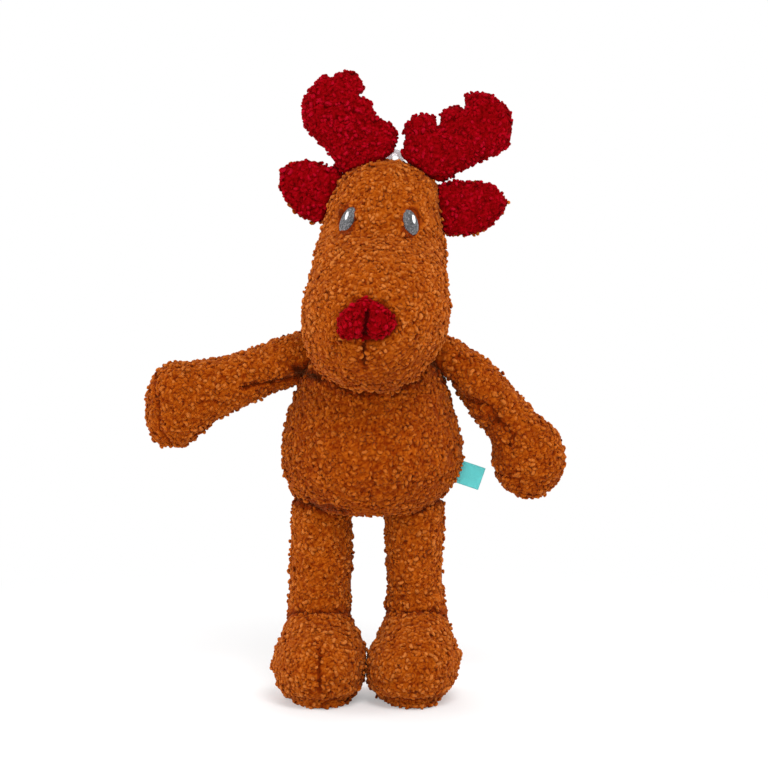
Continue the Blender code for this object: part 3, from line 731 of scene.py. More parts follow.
def fleece_material(name, colours, sheen):
    """Painted shade in the gaps between the curls and painted light on their tips, from the stored light, with fine
    threads across them.
    """
    material, tree, shader = material_of(name, {
        "Roughness": 0.92, "Specular IOR Level": 0.02, "Sheen Weight": 0.22, "Sheen Roughness": 0.45,
        "Sheen Tint": sheen,
    })
    nap = node(tree, "Attribute", attribute_name="nap")
    tone = node(tree, "Attribute", attribute_name="tone")
    place = node(tree, "TexCoord")
    threads = node(tree, "TexNoise", {"Scale": 1500, "Detail": 3, "Distortion": 1.2})
    spread = node(tree, "Math", {1: 0.30, 2: -0.15}, operation="MULTIPLY_ADD")
    mixed = node(tree, "Math", operation="ADD")
    ramp = ramp_of(tree, list(zip(FLEECE_STOPS, colours)))
    value = node(tree, "Math", {1: 0.22, 2: 0.89}, operation="MULTIPLY_ADD")
    shade = node(tree, "HueSaturation")
    bump = node(tree, "Bump", {"Strength": 0.5, "Distance": 0.0004})
    wire(
        tree, (place, "Object", threads, "Vector"), (threads, "Fac", spread, 0), (nap, "Fac", mixed, 0),
        (spread, 0, mixed, 1), (mixed, 0, ramp, "Fac"), (tone, "Fac", value, 0), (value, 0, shade, "Value"),
        (ramp, "Color", shade, "Color"), (shade, "Color", shader, "Base Color"),
        (threads, "Fac", bump, "Height"), (bump, "Normal", shader, "Normal"),
    )
    return material


def speckled_material(name, stops, noise, bump_height, finish):
    """A fine noise that speckles the colour and roughens the surface."""
    material, tree, shader = material_of(name, finish)
    place = node(tree, "TexCoord")
    speckle = node(tree, "TexNoise", noise)
    bump = node(tree, "Bump", {"Distance": bump_height})
    wire(
        tree, (place, "Object", speckle, "Vector"), (speckle, "Fac", bump, "Height"),
        (bump, "Normal", shader, "Normal"),
    )
    if stops:
        ramp = ramp_of(tree, stops)
        wire(tree, (speckle, "Fac", ramp, "Fac"), (ramp, "Color", shader, "Base Color"))
    return material


def thread_material(name, colours, scale):
    """Satin stitches: mottled threads that shine a little."""
    stops = [(0.30 + 0.42 * i / (len(colours) - 1), colour) for i, colour in enumerate(colours)]
    return speckled_material(
        name, stops, {"Scale": scale, "Detail": 2}, 0.0002, {"Roughness": 0.45, "Sheen Weight": 0.1},
    )


def ribbon_material():
    """A fine even weave."""
    material, tree, shader = material_of("label_ribbon", {"Roughness": 0.38})
    place = node(tree, "TexCoord")
    warp, weft = (node(tree, "TexWave", {"Scale": 900}, wave_type="BANDS", bands_direction=way) for way in "XZ")
    both = node(tree, "Math", operation="MULTIPLY")
    ramp = ramp_of(tree, ((0.0, (0.10, 0.64, 0.63)), (1.0, (0.22, 0.86, 0.87))))
    bump = node(tree, "Bump", {"Distance": 0.0002})
    wire(
        tree, (place, "Object", warp, "Vector"), (place, "Object", weft, "Vector"), (warp, "Fac", both, 0),
        (weft, "Fac", both, 1), (both, 0, ramp, "Fac"), (both, 0, bump, "Height"),
        (ramp, "Color", shader, "Base Color"), (bump, "Normal", shader, "Normal"),
    )
    return material


# Each fabric's colours run from the darkest, in seams and painted shade, through its own colour, to painted light on
# the tips
BROWN = fleece_material(
    "brown_fleece",
    ((0.040, 0.005, 0.0001), (0.190, 0.020, 0.0002), (0.375, 0.077, 0.0030), (0.550, 0.175, 0.036)),
    (1.0, 0.52, 0.24, 1),
)
RED = fleece_material(
    "red_fleece",
    ((0.030, 0.0001, 0.0002), (0.140, 0.0001, 0.0003), (0.272, 0.0003, 0.0034), (0.410, 0.003, 0.020)),
    (1.0, 0.03, 0.06, 1),
)
EYE = thread_material(
    "eye_thread",
    ((0.006, 0.006, 0.007), (0.038, 0.040, 0.045), (0.098, 0.095, 0.102), (0.29, 0.265, 0.27)), 1100,
)
GLINT = thread_material("glint_thread", ((0.72, 0.74, 0.76), (0.95, 0.95, 0.95)), 1500)
FILLING = speckled_material(
    "fibre_filling", ((0.0, (0.62, 0.62, 0.60)), (1.0, (0.92, 0.92, 0.90))),
    {"Scale": 320, "Detail": 6, "Distortion": 2.5}, 0.001, {"Roughness": 1.0},
)
CLEAR = speckled_material(
    "clear_plastic", None, {"Scale": 260}, 0.0003,
    {"Base Color": (0.84, 0.82, 0.85, 1), "Roughness": 0.10, "Transmission Weight": 0.60, "IOR": 1.46},
)


def wear(thing, material, slot, body, *replaced, fill=None):
    """Gives a piece its material, lets it ride, and hides the parts that it stands for; its slot is not used."""
    thing.data.materials.clear()
    thing.data.materials.append(material)
    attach(thing, body)
    if replaced:
        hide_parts(*replaced)


# ---------------------------------------------------------------- body
TORSO_X, TORSO_Y = NECK[0] / MM, NECK[1] / MM
# Height, half width, half depth, forward
TORSO_TABLE = (
    (120.4, 0.0, 0.0, 0.0), (121.2, 22.0, 19.0, 0.0), (124.6, 36.5, 31.0, 0.2), (131.0, 46.0, 39.0, 0.6),
    (140.0, 51.8, 44.0, 1.0), (148.0, 55.4, 46.6, 1.2), (157.0, 57.2, 47.6, 1.2), (167.0, 57.0, 47.8, 1.0),
    (177.0, 55.0, 47.6, 0.6), (186.0, 52.2, 47.2, 0.2), (194.0, 49.8, 47.0, 0.0), (202.0, 47.4, 46.6, 0.0),
    (211.0, 45.4, 45.2, 0.0), (220.0, 42.3, 42.3, 0.0), (229.0, 37.4, 37.4, 0.0), (237.0, 29.9, 29.9, 0.0),
    (243.0, 21.2, 21.2, 0.0), (246.6, 12.0, 12.0, 0.0), (247.7, 0.0, 0.0, 0.0),
)
# The body's rims in the picture: down, left, right
TORSO_EDGES = (
    (390, 295.5, 449.5), (402, 291, 452), (414, 286.5, 455.5), (426, 284, 459), (438, 282, 461.5), (450, 281, 463),
    (462, 281.5, 463), (474, 283.8, 459.2), (486, 288, 452), (492, 292, 447.8),
)


def make_torso():
    points, faces = upright(TORSO_TABLE, steps=90, centre=(TORSO_X, TORSO_Y), sides=56)
    torso = fuse("torso_skin", [(points * MM, faces)], voxel=0.85, blend_voxel=2.4, blend_rounds=3)
    fit_edges(torso, TORSO_EDGES)
    x, y, z = (points_of(torso) / MM - (TORSO_X, TORSO_Y, 0)).T
    tuck_x = -1.2 + 1.6 * np.sin((z - 130) / 14)
    front = np.where(y < 0, np.abs(x - tuck_x) * MM, FAR)
    inner = smooth_step(126, 134, z) * (1 - smooth_step(150, 166, z))
    valley = press(torso, front, 1.5, 0.5 * inner)
    press(torso, front, 7.0, 1.5 * inner)
    seam = press(torso, np.abs(y) * MM, 1.2, 0.9)
    calm = 1 - 0.35 * valley * inner - 0.4 * seam
    keep_off(torso, "torso_filling")
    # Painted shade: in the front tuck and over the whole body; the side seam is darker too
    fleece(torso, 100, 1.0, calm, np.maximum(np.maximum(0.55 * valley * inner, 0.48 * seam), 0.22))
    wear(torso, BROWN, "brown_fleece", "torso", "torso_cover", fill=0.9)


# ---------------------------------------------------------------- head
# Height above the neck pivot, half width, half depth, forward
CRANIUM_TABLE = (
    (40.0, 0.0, 0.0, 0.0), (41.5, 20.0, 18.0, 0.0), (46.0, 32.0, 28.0, 0.0), (56.0, 38.8, 34.5, 1.0),
    (70.0, 41.0, 37.0, 2.0), (84.0, 40.6, 37.6, 3.0), (97.0, 39.4, 37.2, 3.0), (108.0, 37.6, 35.6, 2.4),
    (119.0, 34.6, 32.4, 1.6), (129.0, 29.8, 28.0, 0.8), (136.5, 24.0, 22.6, 0.2), (142.0, 16.4, 15.2, 0.0),
    (145.0, 8.0, 7.4, 0.0), (145.8, 0.0, 0.0, 0.0),
)
SNOUT_TABLE = (
    (3.2, 0.0, 0.0, 47.0), (4.0, 12.0, 9.0, 47.2), (8.6, 24.0, 19.0, 47.6), (17.0, 33.6, 28.0, 47.6),
    (27.0, 40.0, 35.4, 46.6), (38.0, 44.0, 39.8, 45.2), (49.0, 45.8, 41.8, 44.0), (60.0, 45.2, 41.4, 42.4),
    (70.0, 43.6, 38.8, 40.2), (80.0, 41.8, 34.8, 36.4), (89.0, 38.6, 28.6, 31.4), (96.0, 32.0, 20.4, 27.0),
    (101.0, 20.0, 11.0, 24.4), (103.0, 0.0, 0.0, 23.0),
)
SEAT_RADIUS = 48.6
# The head's rims in the picture: down, left, right
HEAD_EDGES = (
    (162, 370, 403), (164, 360, 412.5), (168, 350, 421), (174, 342, 430), (180, 338, 436), (186, 335.5, 439.5),
    (192, 332.5, 440), (198, 330, 440.5), (210, 326, 441.5), (222, 322.5, 443), (234, 319, 445), (246, 315.5, 446),
    (258, 313, 446.5), (270, 311, 447), (282, 308, 448), (294, 305, 449.5), (306, 301, 451), (318, 301, 450.5),
    (330, 302.5, 448), (338, 304.5, 445.5), (346, 306.5, 441.5), (354, 309, 437), (362, 312.5, 431.5),
    (370, 319, 423), (378, 328, 412), (384, 340, 399),
)
# Middle across and up, half width, half height, lean to the side as the camera sees it
EYES = {"right": (-20.4, 107.4, 5.0, 9.0, 17.0), "left": (19.4, 108.7, 5.1, 8.6, -12.0)}
MOUTH_SEAM = ((364.5, 334), (363.5, 345), (363.5, 354), (364.5, 366))
# Places of the mouth and the nose in the head's frame, for their distance from the camera
MOUTH_SPOT = (0, -83.0, 20.0)
NOSE_SPOT = (0, -83.0, 46.5)
NOSE_FOOT = 47.0


def make_head():
    forms = []
    for table in (CRANIUM_TABLE, SNOUT_TABLE):
        points, faces = upright(table, steps=70, centre=(0, 0), sides=56)
        forms.append((in_head(points), faces))
    head = fuse("head_skin", forms, voxel=0.85, blend_voxel=2.6, blend_rounds=9)
    fit_edges(head, HEAD_EDGES)
    local = to_head(points_of(head))
    away = np.linalg.norm(local, axis=1)
    inside = away < SEAT_RADIUS
    local[inside] *= (SEAT_RADIUS / np.maximum(away[inside], 1e-6))[:, None]
    set_points(head, in_head(local))
    x, y, z = local.T
    depth = in_head(MOUTH_SPOT)[0, 1]
    mouth = np.where(y < -40, away_from_seam(head, MOUTH_SEAM, depth), FAR)
    valley = press(head, mouth, 1.0, 1.3)
    beside = press(head, mouth, 4.0, 0.7)
    keep_off(head, "head_filling")
    hidden = smooth_step(SEAT_RADIUS - 1, SEAT_RADIUS + 3, np.linalg.norm(local, axis=1))
    calm = (1 - 0.7 * beside ** 2) * (0.15 + 0.85 * hidden)
    # The mouth seam is darker, and painted shade darkens the underside of the muzzle
    dark = np.maximum(0.95 * valley, 0.23 * (1 - smooth_step(18, 42, z)))
    for across, rise, half_wide, half_high, _ in EYES.values():
        oval = ((x - across) / half_wide) ** 2 + ((rise - z) / half_high) ** 2
        calm = np.where(y < 0, calm * smooth_step(0.45, 0.95, oval), calm)
        # Painted shade in a ring round each eye
        dark = np.where(y < 0, np.maximum(dark, 0.75 * bell(np.sqrt(oval) - 1.0, 0.16)), dark)
    fleece(head, 200, 1.0, calm, dark)
    wear(head, BROWN, "brown_fleece", "head", "head_cover", fill=0.9)


# The nose's outline in the picture, clockwise from its top, and its tuck
NOSE_OUTLINE = (
    (366, 298), (376, 301.5), (386.5, 308.5), (393, 316), (396.5, 322.5), (393.5, 329.5), (386, 335.8),
    (377, 338.6), (369, 338.8), (362.5, 339.6), (356, 338.4), (346, 337.4), (340.5, 335), (338.8, 328.5),
    (338.5, 322), (340.3, 314.8), (346, 308.3), (356, 301.8),
)
NOSE_TUCK = ((367.5, 309), (366.5, 318), (365.5, 328), (364.5, 345))


def make_nose():
    """A plump pad, flat at its foot, tucked down the middle."""
    depth = in_head(NOSE_SPOT)[0, 1]
    form = from_picture(NOSE_OUTLINE, depth, half_thick=12.5, fullness=0.75, step=0.6)
    nose = fuse("nose_skin", [form], voxel=0.42)
    tuck = away_from_seam(nose, NOSE_TUCK, depth)
    tuck = np.where(points_of(nose)[:, 1] < depth - 2 * MM, tuck, FAR)
    press(nose, tuck, 4.5, 2.4)
    valley = press(nose, tuck, 1.7, 2.4)
    # Painted shade: in the tuck, in a wedge at the nose's foot, and over the whole nose
    low = smooth_step(-2, 6, NOSE_FOOT - to_head(points_of(nose))[:, 2])
    wedge_shade = 0.92 * bell(tuck, 4.4 * MM) * low
    fleece(nose, 300, 0.8, 1 - 0.8 * valley, np.maximum(np.maximum(0.95 * valley, wedge_shade), 0.12))
    wear(nose, RED, "red_fleece", "head", "nose", fill=0.9)


def face_plane(across, rise):
    """Where the head's skin lies at a place of its face, and which way it faces, in the head's frame."""
    head = bpy.data.objects["head_skin"]
    local = to_head(points_of(head))
    close = (np.hypot(local[:, 0] - across, local[:, 2] - rise) < FACE_PATCH) & (local[:, 1] < -5)
    return local[close].mean(0), along_head(unit(normals_of(head)[close].mean(0)))


DOME_RINGS = 46
DOME_SIDES = 96
DOME_SINK = 0.9
DOME_FOOT = 2.4
STITCH_RISE = 0.22
ROLL_RISE = 0.30
ROLL_PLACE = 0.93
ROLL_WIDTH = 0.05
# How far each glint sits aside and up from its eye's middle, and its lean against the eye's
GLINTS = {"right": (-0.7, 2.3, 9.0), "left": (2.1, 1.5, -9.0)}
# Half width and half height of a glint
GLINT_HALVES = (1.2, 3.1)
FACE_PATCH = 5.5


def dome(name, centre, ways, wide, high, thick, threads, tilt):
    """An oval dome of satin stitches with a rolled rim, in the head's frame."""
    side, up, outward = ways
    points = []
    for i, j in itertools.product(range(DOME_RINGS + 1), range(DOME_SIDES)):
        r = i / DOME_RINGS
        a = j / DOME_SIDES * TAU
        u, v = r * math.cos(a) * wide, r * math.sin(a) * high
        along = u * math.cos(tilt) + v * math.sin(tilt)
        stitch = abs(math.sin(along * threads)) * STITCH_RISE
        roll = ROLL_RISE * math.exp(-(((r - ROLL_PLACE) / ROLL_WIDTH) ** 2))
        rise_up = thick * math.sqrt(max(1 - r ** 3.2, 0)) + (stitch + roll) * (1 - r ** 8)
        points.append(centre + side * u + up * v + outward * (rise_up - DOME_SINK))
    faces = ring_faces(DOME_RINGS + 1, DOME_SIDES)
    rim, base = DOME_RINGS * DOME_SIDES, len(points)
    for j in range(DOME_SIDES):
        a = j / DOME_SIDES * TAU
        k = (j + 1) % DOME_SIDES
        points.append(centre + side * math.cos(a) * wide + up * math.sin(a) * high - outward * DOME_FOOT)
        faces += [(rim + j, rim + k, base + k, base + j), (base + j, base + k, base + DOME_SIDES)]
    points.append(centre - outward * DOME_FOOT)
    mesh = clean_mesh(name, in_head(points), faces, merge=1e-6)
    mesh.shade_smooth()
    return new_object(name, mesh)


def make_eye(word):
    """An oval of satin stitches and a stitched glint on it."""
    across, rise, half_wide, half_high, lean = EYES[word]
    middle, outward = face_plane(across, rise)
    middle = np.array((across, middle[1], rise)) + outward * 0.7
    up = along_head(np.array((math.sin(math.radians(lean)), 0, math.cos(math.radians(lean)))))
    up = unit(up - outward * (up @ outward))
    side = np.cross(outward, up) * -1
    eye = dome(f"eye_{word}_stitches", middle, (side, up, outward), half_wide, half_high, 1.5, 3.9, 0.5)
    wear(eye, EYE, "eye_thread", "head", f"eye_{word}")
    aside, rise_by, lean = GLINTS[word]
    middle = middle + side * aside + up * rise_by + outward * 1.0
    turn = math.radians(lean)
    side, up = side * math.cos(turn) + up * math.sin(turn), up * math.cos(turn) - side * math.sin(turn)
    glint = dome(f"eye_glint_{word}_stitches", middle, (side, up, outward), *GLINT_HALVES, 0.9, 4.6, 0.1)
    wear(glint, GLINT, "glint_thread", "head", f"eye_glint_{word}")


# ---------------------------------------------------------------- ears
# The ears' outlines in the picture, with their roots hidden against the head
EAR_OUTLINES = {
    "right": (
        (341, 169), (333, 167.5), (327.5, 166.5), (320.5, 163), (312, 160.8), (303, 160.5), (294, 162), (285.5, 165.5),
        (280, 171), (279, 178), (280.5, 186), (284, 195), (289, 203), (294.5, 210), (301, 215.5), (309, 219.5),
        (317, 221), (324, 220), (331, 214), (336, 203), (340, 190), (343, 178),
    ),
    "left": (
        (438, 184), (443, 183), (449, 182), (457, 181), (468, 181), (480, 182), (490, 183.5), (497, 189), (504, 196),
        (507, 202.5), (503, 211), (497, 218), (490.5, 225.5), (481, 231), (473, 233.5), (464.5, 234.5), (456, 234.5),
        (446, 233.5), (440, 231), (438, 222), (437.5, 208), (437, 195),
    ),
}
# Panel, how far behind the ear's middle, how far lower, material, slot and salt
EAR_PANELS = (("front", -2.4, 0.0, RED, "red_fleece", 410), ("back", 2.4, 0.9, BROWN, "brown_fleece", 430))


def make_ear(word, sign):
    """A leaf of two panels: red in front, brown behind, seen as a thin rim under it."""
    depth = joint_place(f"ear_{word}_bend")[1]
    for panel, behind, drop, material, slot, salt in EAR_PANELS:
        form = from_picture(EAR_OUTLINES[word], depth, 3.4, fullness=0.7, step=0.7, drop=drop, behind=behind)
        ear = fuse(f"ear_{word}_{panel}_skin", [form], voxel=0.5)
        fleece(ear, salt + sign, 0.8)
        wear(ear, material, slot, f"ear_{word}", f"ear_{word}_{panel}", fill=0.4)


# ---------------------------------------------------------------- antlers
# The antlers' outlines in the picture, with their roots hidden in the head
ANTLER_OUTLINES = {
    "right": (
        (340, 170), (334, 160), (327, 150), (320, 143), (313, 136), (308, 130), (304, 121), (302, 112), (302.5, 103),
        (306, 96), (311, 88), (319, 80), (327, 76), (332, 77.5), (338, 74.5), (346, 72), (354, 73.5), (360, 78),
        (363, 85), (362.5, 91), (358, 95.5), (364, 98), (371, 103), (374, 111), (376, 117), (382, 120.5),
        (389, 123), (394, 128), (397.5, 135), (396, 143), (392, 151), (386, 158), (380, 166), (366, 174), (350, 176),
    ),
    "left": (
        (404, 158), (403, 151), (404.5, 143), (406.5, 136), (404.5, 131), (408, 124), (412.5, 118), (419, 115.5),
        (427, 114.5), (433, 117), (436, 122.5), (438, 128), (441, 121.5), (440.5, 115), (445.5, 109), (452.5, 106.5),
        (459, 107.5), (463, 111), (465.5, 105), (465, 97), (471, 93.5), (480.5, 92.5), (489, 94.5), (497, 100.5),
        (504.5, 105), (509, 113), (512, 121.5), (510.5, 131), (510, 140), (507, 147), (500, 152), (489, 157.5),
        (479, 160.5), (471, 165.5), (463, 170.5), (455, 173), (447, 178.5), (440, 182), (428, 178), (414, 168),
    ),
}
# Painted shade over the whole of each antler
ANTLER_SHADES = {"left": 0.12, "right": 0.06}


def make_antler(word, sign):
    depth = joint_place(f"antler_{word}_bend")[1]
    form = from_picture(ANTLER_OUTLINES[word], depth, half_thick=10.2, fullness=0.62, step=0.7)
    antler = fuse(f"antler_{word}_skin", [form], voxel=0.6)
    seam = press(antler, np.abs(points_of(antler)[:, 1] - depth), 1.1, 0.7)
    fleece(antler, 500 + sign, 0.9, 1 - 0.3 * seam, ANTLER_SHADES[word])
    wear(antler, RED, "red_fleece", f"antler_{word}", f"antler_{word}", fill=0.8)


# ---------------------------------------------------------------- arms
# The arms' outlines in the picture, with their roots hidden in the body
ARM_OUTLINES = {
    "right": (
        (322, 331), (304, 332), (290, 335.5), (275, 339.5), (262, 345.5), (245, 351.5), (230, 355.5), (213, 359),
        (199, 361.5), (185, 363.5), (171, 364), (160.5, 367.5), (153.5, 376), (148.5, 389), (146.5, 404), (147, 419),
        (150.5, 432), (157, 441), (168, 445.5), (180, 447.5), (190, 441.5), (200, 433), (208, 427), (214, 420.5),
        (225, 414.5), (235, 409.5), (246, 405), (259, 398), (270, 393), (284, 389), (297, 385.5), (312, 384),
        (328, 375), (334, 352),
    ),
    "left": (
        (424, 334), (436, 333.5), (447, 336), (457.5, 341.5), (470, 349.5), (485, 358.5), (497.5, 371), (510, 385.5),
        (527, 403), (537, 415), (546, 422), (556, 431), (561, 442), (563.5, 454), (563.5, 466), (559.5, 478),
        (551, 487.5), (538, 496.5), (527, 497), (514, 493), (504.5, 487), (498, 478), (494, 466), (493, 454),
        (492.5, 443), (486, 433), (476, 420.5), (469, 410), (462.5, 402), (456.5, 389), (451, 380.5), (444, 376),
        (436, 374), (425, 372), (415, 355),
    ),
}
PAW_SEAMS = {
    "right": ((168, 362), (160, 372), (155, 384), (160.5, 399), (161.5, 413), (163, 428), (170, 436), (176, 449)),
    "left": ((568, 470), (556, 474), (540, 480), (522, 480), (508, 474), (490, 468)),
}
# Each fold's line and strength, which sets its depth and its painted shade
ARM_FOLDS = {
    "right": (
        (((246, 384), (262, 381), (276, 379.5), (298, 374.5), (313, 371)), 0.85),
        (((200, 400), (215, 399), (226, 401)), 0.30),
    ),
    "left": (
        (((463, 395), (475, 400), (490.5, 403.5), (496.3, 417), (504, 421), (511, 432), (507.7, 441.4)), 0.75),
        (((483, 429), (490, 422), (496.3, 417)), 0.65),
    ),
}
# Broad soft hollows of the arms, pressed in and darkened with painted shade
ARM_HOLLOWS = {
    "right": ((262, 384), (290, 379), (320, 368)),
    "left": ((464, 394), (484, 412), (499, 446), (506, 464), (514, 480)),
}
# How clearly each paw's seam shows
PAW_DEPTHS = {"right": 0.6, "left": 0.3}
# Painted shade over the whole of each arm
ARM_SHADES = {"left": 0.15, "right": 0.08}


def make_arm(word, sign):
    depth = joint_place(f"shoulder_{word}")[1]
    form = from_picture(ARM_OUTLINES[word], depth, half_thick=21.0, fullness=0.85, step=1.0)
    arm = fuse(f"arm_{word}_skin", [form], voxel=0.7)

    def press_front(line, width, deep):
        in_front = points_of(arm)[:, 1] < depth
        return press(arm, np.where(in_front, away_from_seam(arm, line, depth), FAR), width, deep)

    share = PAW_DEPTHS[word]
    seam = share * press_front(PAW_SEAMS[word], 1.0, 1.3 * share)
    press_front(PAW_SEAMS[word], 3.5, 0.7 * share)
    # The paw's seam is darker; painted shade lies over the whole arm, in its hollows and in its folds
    dark = np.maximum(0.8 * seam, ARM_SHADES[word])
    dark = np.maximum(dark, 0.34 * press_front(ARM_HOLLOWS[word], 6.5, 0.5))
    for line, strength in ARM_FOLDS[word]:
        press_front(line, 5.0, 1.5 * strength)
        dark = np.maximum(dark, strength * press_front(line, 2.2, 1.8 * strength))
    edge = press(arm, np.abs(points_of(arm)[:, 1] - depth), 1.1, 0.5)
    fleece(arm, 600 + sign, 0.95, 1 - 0.6 * seam - 0.1 * edge, dark)
    wear(arm, BROWN, "brown_fleece", f"arm_{word}", f"arm_{word}", f"paw_panel_{word}", fill=0.8)


# ---------------------------------------------------------------- legs and feet
# Height, radius
LEG_TABLE = (
    (133.0, 0.0), (132.0, 10.0), (128.0, 17.2), (121.0, 20.2), (112.0, 20.6), (100.0, 20.4), (86.0, 20.0),
    (74.0, 20.2), (64.0, 20.6), (56.0, 20.4), (48.0, 18.0), (41.0, 12.0), (38.0, 4.0), (37.4, 0.0),
)
# The legs' rims in the picture: down, left, right
LEG_EDGES = {
    "right": (
        (504, 291, 352), (522, 290, 352.5), (540, 290, 353), (558, 289, 353.5), (576, 289.5, 352.5), (594, 288, 352),
        (606, 286.5, 351.5), (618, 285, 353),
    ),
    "left": (
        (504, 383.5, 445), (522, 383.5, 445), (540, 384, 444.5), (558, 385, 442.5), (576, 385.5, 443), (594, 386, 445),
        (606, 384.5, 447.5), (618, 384.5, 449),
    ),
}
LEG_SHARES = {"left": 0.90, "right": 0.965}
# Height, middle angle, reach of angle and depth of each fold
LEG_FOLDS = ((66, 0.4, 1.3, 0.9), (73, -0.9, 0.9, 0.6), (105, 0.5, 1.1, 0.7), (92, -0.5, 0.7, 0.45))


def make_leg(word, sign):
    hip = joint_place(f"hip_{word}") / MM
    slim = LEG_SHARES[word]
    rows = [(z, r * slim, r * slim * 0.985, 0.0) for z, r in LEG_TABLE[::-1]]
    points, faces = upright(rows, steps=60, centre=(hip[0], hip[1]), sides=44)
    leg = fuse(f"leg_{word}_skin", [(points * MM, faces)], voxel=0.75, blend_voxel=2.0, blend_rounds=3)
    fit_edges(leg, LEG_EDGES[word])
    x, y, z = (points_of(leg) / MM - (hip[0], hip[1], 0)).T
    angle = np.arctan2(x, -y)
    for level, start, reach, depth in LEG_FOLDS:
        spread = bell(angle - start * sign, reach)
        press(leg, np.abs(z - level - 1.6 * np.sin(angle * 1.7)) * MM, 2.6, depth * spread)
    seam = press(leg, np.where(np.abs(x) > 8, np.abs(y + 1.5) * MM, FAR), 1.2, 0.8)
    # Painted shade over the whole leg
    fleece(leg, 700 + sign, 0.92, 1 - 0.3 * seam, 0.06)
    wear(leg, BROWN, "brown_fleece", f"leg_{word}", f"leg_{word}", fill=0.8)


# Height, half width, half depth, forward
FOOT_TABLE = (
    (0.0, 0.0, 0.0, 14.0), (0.1, 6.0, 14.0, 14.0), (2.0, 14.0, 24.5, 14.8), (4.5, 19.0, 30.0, 15.2),
    (8.0, 23.2, 34.4, 15.6), (12.0, 26.2, 37.2, 16.0), (19.0, 28.0, 39.2, 16.0), (27.0, 29.6, 40.0, 15.6),
    (34.6, 29.0, 37.6, 14.2), (42.0, 26.6, 33.0, 12.0), (47.0, 24.2, 29.0, 9.0), (51.0, 22.2, 25.2, 5.6),
    (54.4, 20.4, 22.0, 2.4), (57.0, 14.0, 15.4, 0.8), (58.2, 0.0, 0.0, 0.0),
)
# The feet's rims in the picture: down, left, right
FOOT_EDGES = {
    "right": (
        (604, 292, 346.5), (612, 289, 349.5), (620, 285.8, 353), (630, 282.5, 359), (642, 277.5, 364),
        (654, 273, 367.6), (666, 271, 367.8), (678, 274.5, 365.6), (688, 278, 362), (695, 284, 357), (700, 292, 350),
    ),
    "left": (
        (604, 389.5, 443), (612, 387, 445.5), (620, 384.5, 448.7), (630, 380, 452), (642, 373, 456),
        (654, 366.2, 461.5), (666, 365.2, 460.3), (678, 365.3, 456.5), (688, 368, 451), (695, 375, 445.5),
        (700, 383, 439),
    ),
}
FOOT_TURN = math.radians(1.0)
FOOT_OUTWARD = 0.4
SOLE_SEAM = 6.5
TOE_SEAMS = {"left": 0.35, "right": 1.0}


def make_foot(word, sign):
    ankle = joint_place(f"ankle_{word}") / MM
    points, faces = upright(FOOT_TABLE, steps=70, centre=(0, 0), sides=56, power=0.97)
    side = np.array((math.cos(FOOT_TURN), math.sin(FOOT_TURN), 0.0))
    backward = np.array((-math.sin(FOOT_TURN), math.cos(FOOT_TURN), 0.0))
    base = np.array((ankle[0] + sign * FOOT_OUTWARD, ankle[1], 0.0))
    world = base + points[:, :1] * side + points[:, 1:2] * backward + points[:, 2:] * (0, 0, 1.0)
    foot = fuse(f"foot_{word}_skin", [(world * MM, faces)], voxel=0.75, blend_voxel=2.0, blend_rounds=3)
    spots = points_of(foot) / MM - base
    z = spots[:, 2]
    toe = np.where(spots @ backward < -24, np.abs(spots @ side) * MM, FAR)
    rise = smooth_step(8, 14, z) * (1 - smooth_step(36, 46, z)) * TOE_SEAMS[word]
    fit_edges(foot, FOOT_EDGES[word], 6.0)
    seam = press(foot, toe, 0.9, 1.0 * rise)
    beside = press(foot, toe, 5.0, 0.9 * rise) ** 3
    sole = press(foot, np.abs(z - SOLE_SEAM) * MM, 1.0, 0.8)
    calm = 1 - 0.5 * np.maximum(beside * rise, sole * 0.5)
    fleece(foot, 800 + sign, 0.95, calm, np.maximum(0.6 * seam * rise, 0.6 * sole))
    spots = points_of(foot)
    spots[:, 2] = np.maximum(spots[:, 2], FLOOR_CLEAR * MM)
    set_points(foot, spots)
    wear(foot, BROWN, "brown_fleece", f"foot_{word}", f"foot_{word}", f"sole_{word}", fill=0.85)


# ---------------------------------------------------------------- trim
# How far the label sits down its seam, half its width, its length, its thickness and what the seam holds
LABEL_DROP = 3.0
LABEL_HALF = 7.4
LABEL_LENGTH = 18.8
LABEL_THICK = 0.16
LABEL_HELD = 1.2
LABEL_STEPS = 44
LABEL_ROWS = 16
# The share of the way that is the fold
FOLD_SHARE = 0.06


def label_path():
    """The ribbon's way out from the seam and back, seen along the seam: run and gap."""
    path = []
    for i in range(LABEL_STEPS + 1):
        way = 2 * (i / LABEL_STEPS) - 1
        run = LABEL_LENGTH * (1 - abs(way))
        if abs(way) <= FOLD_SHARE:
            run = LABEL_LENGTH * 0.94 + 0.4 * math.cos(way / FOLD_SHARE * math.pi / 2)
        path.append((run, 0.55 * math.tanh(way * 9) + 0.5 * math.sin(min(run / LABEL_LENGTH, 1) * 2.2) ** 2))
    return np.asarray(path)


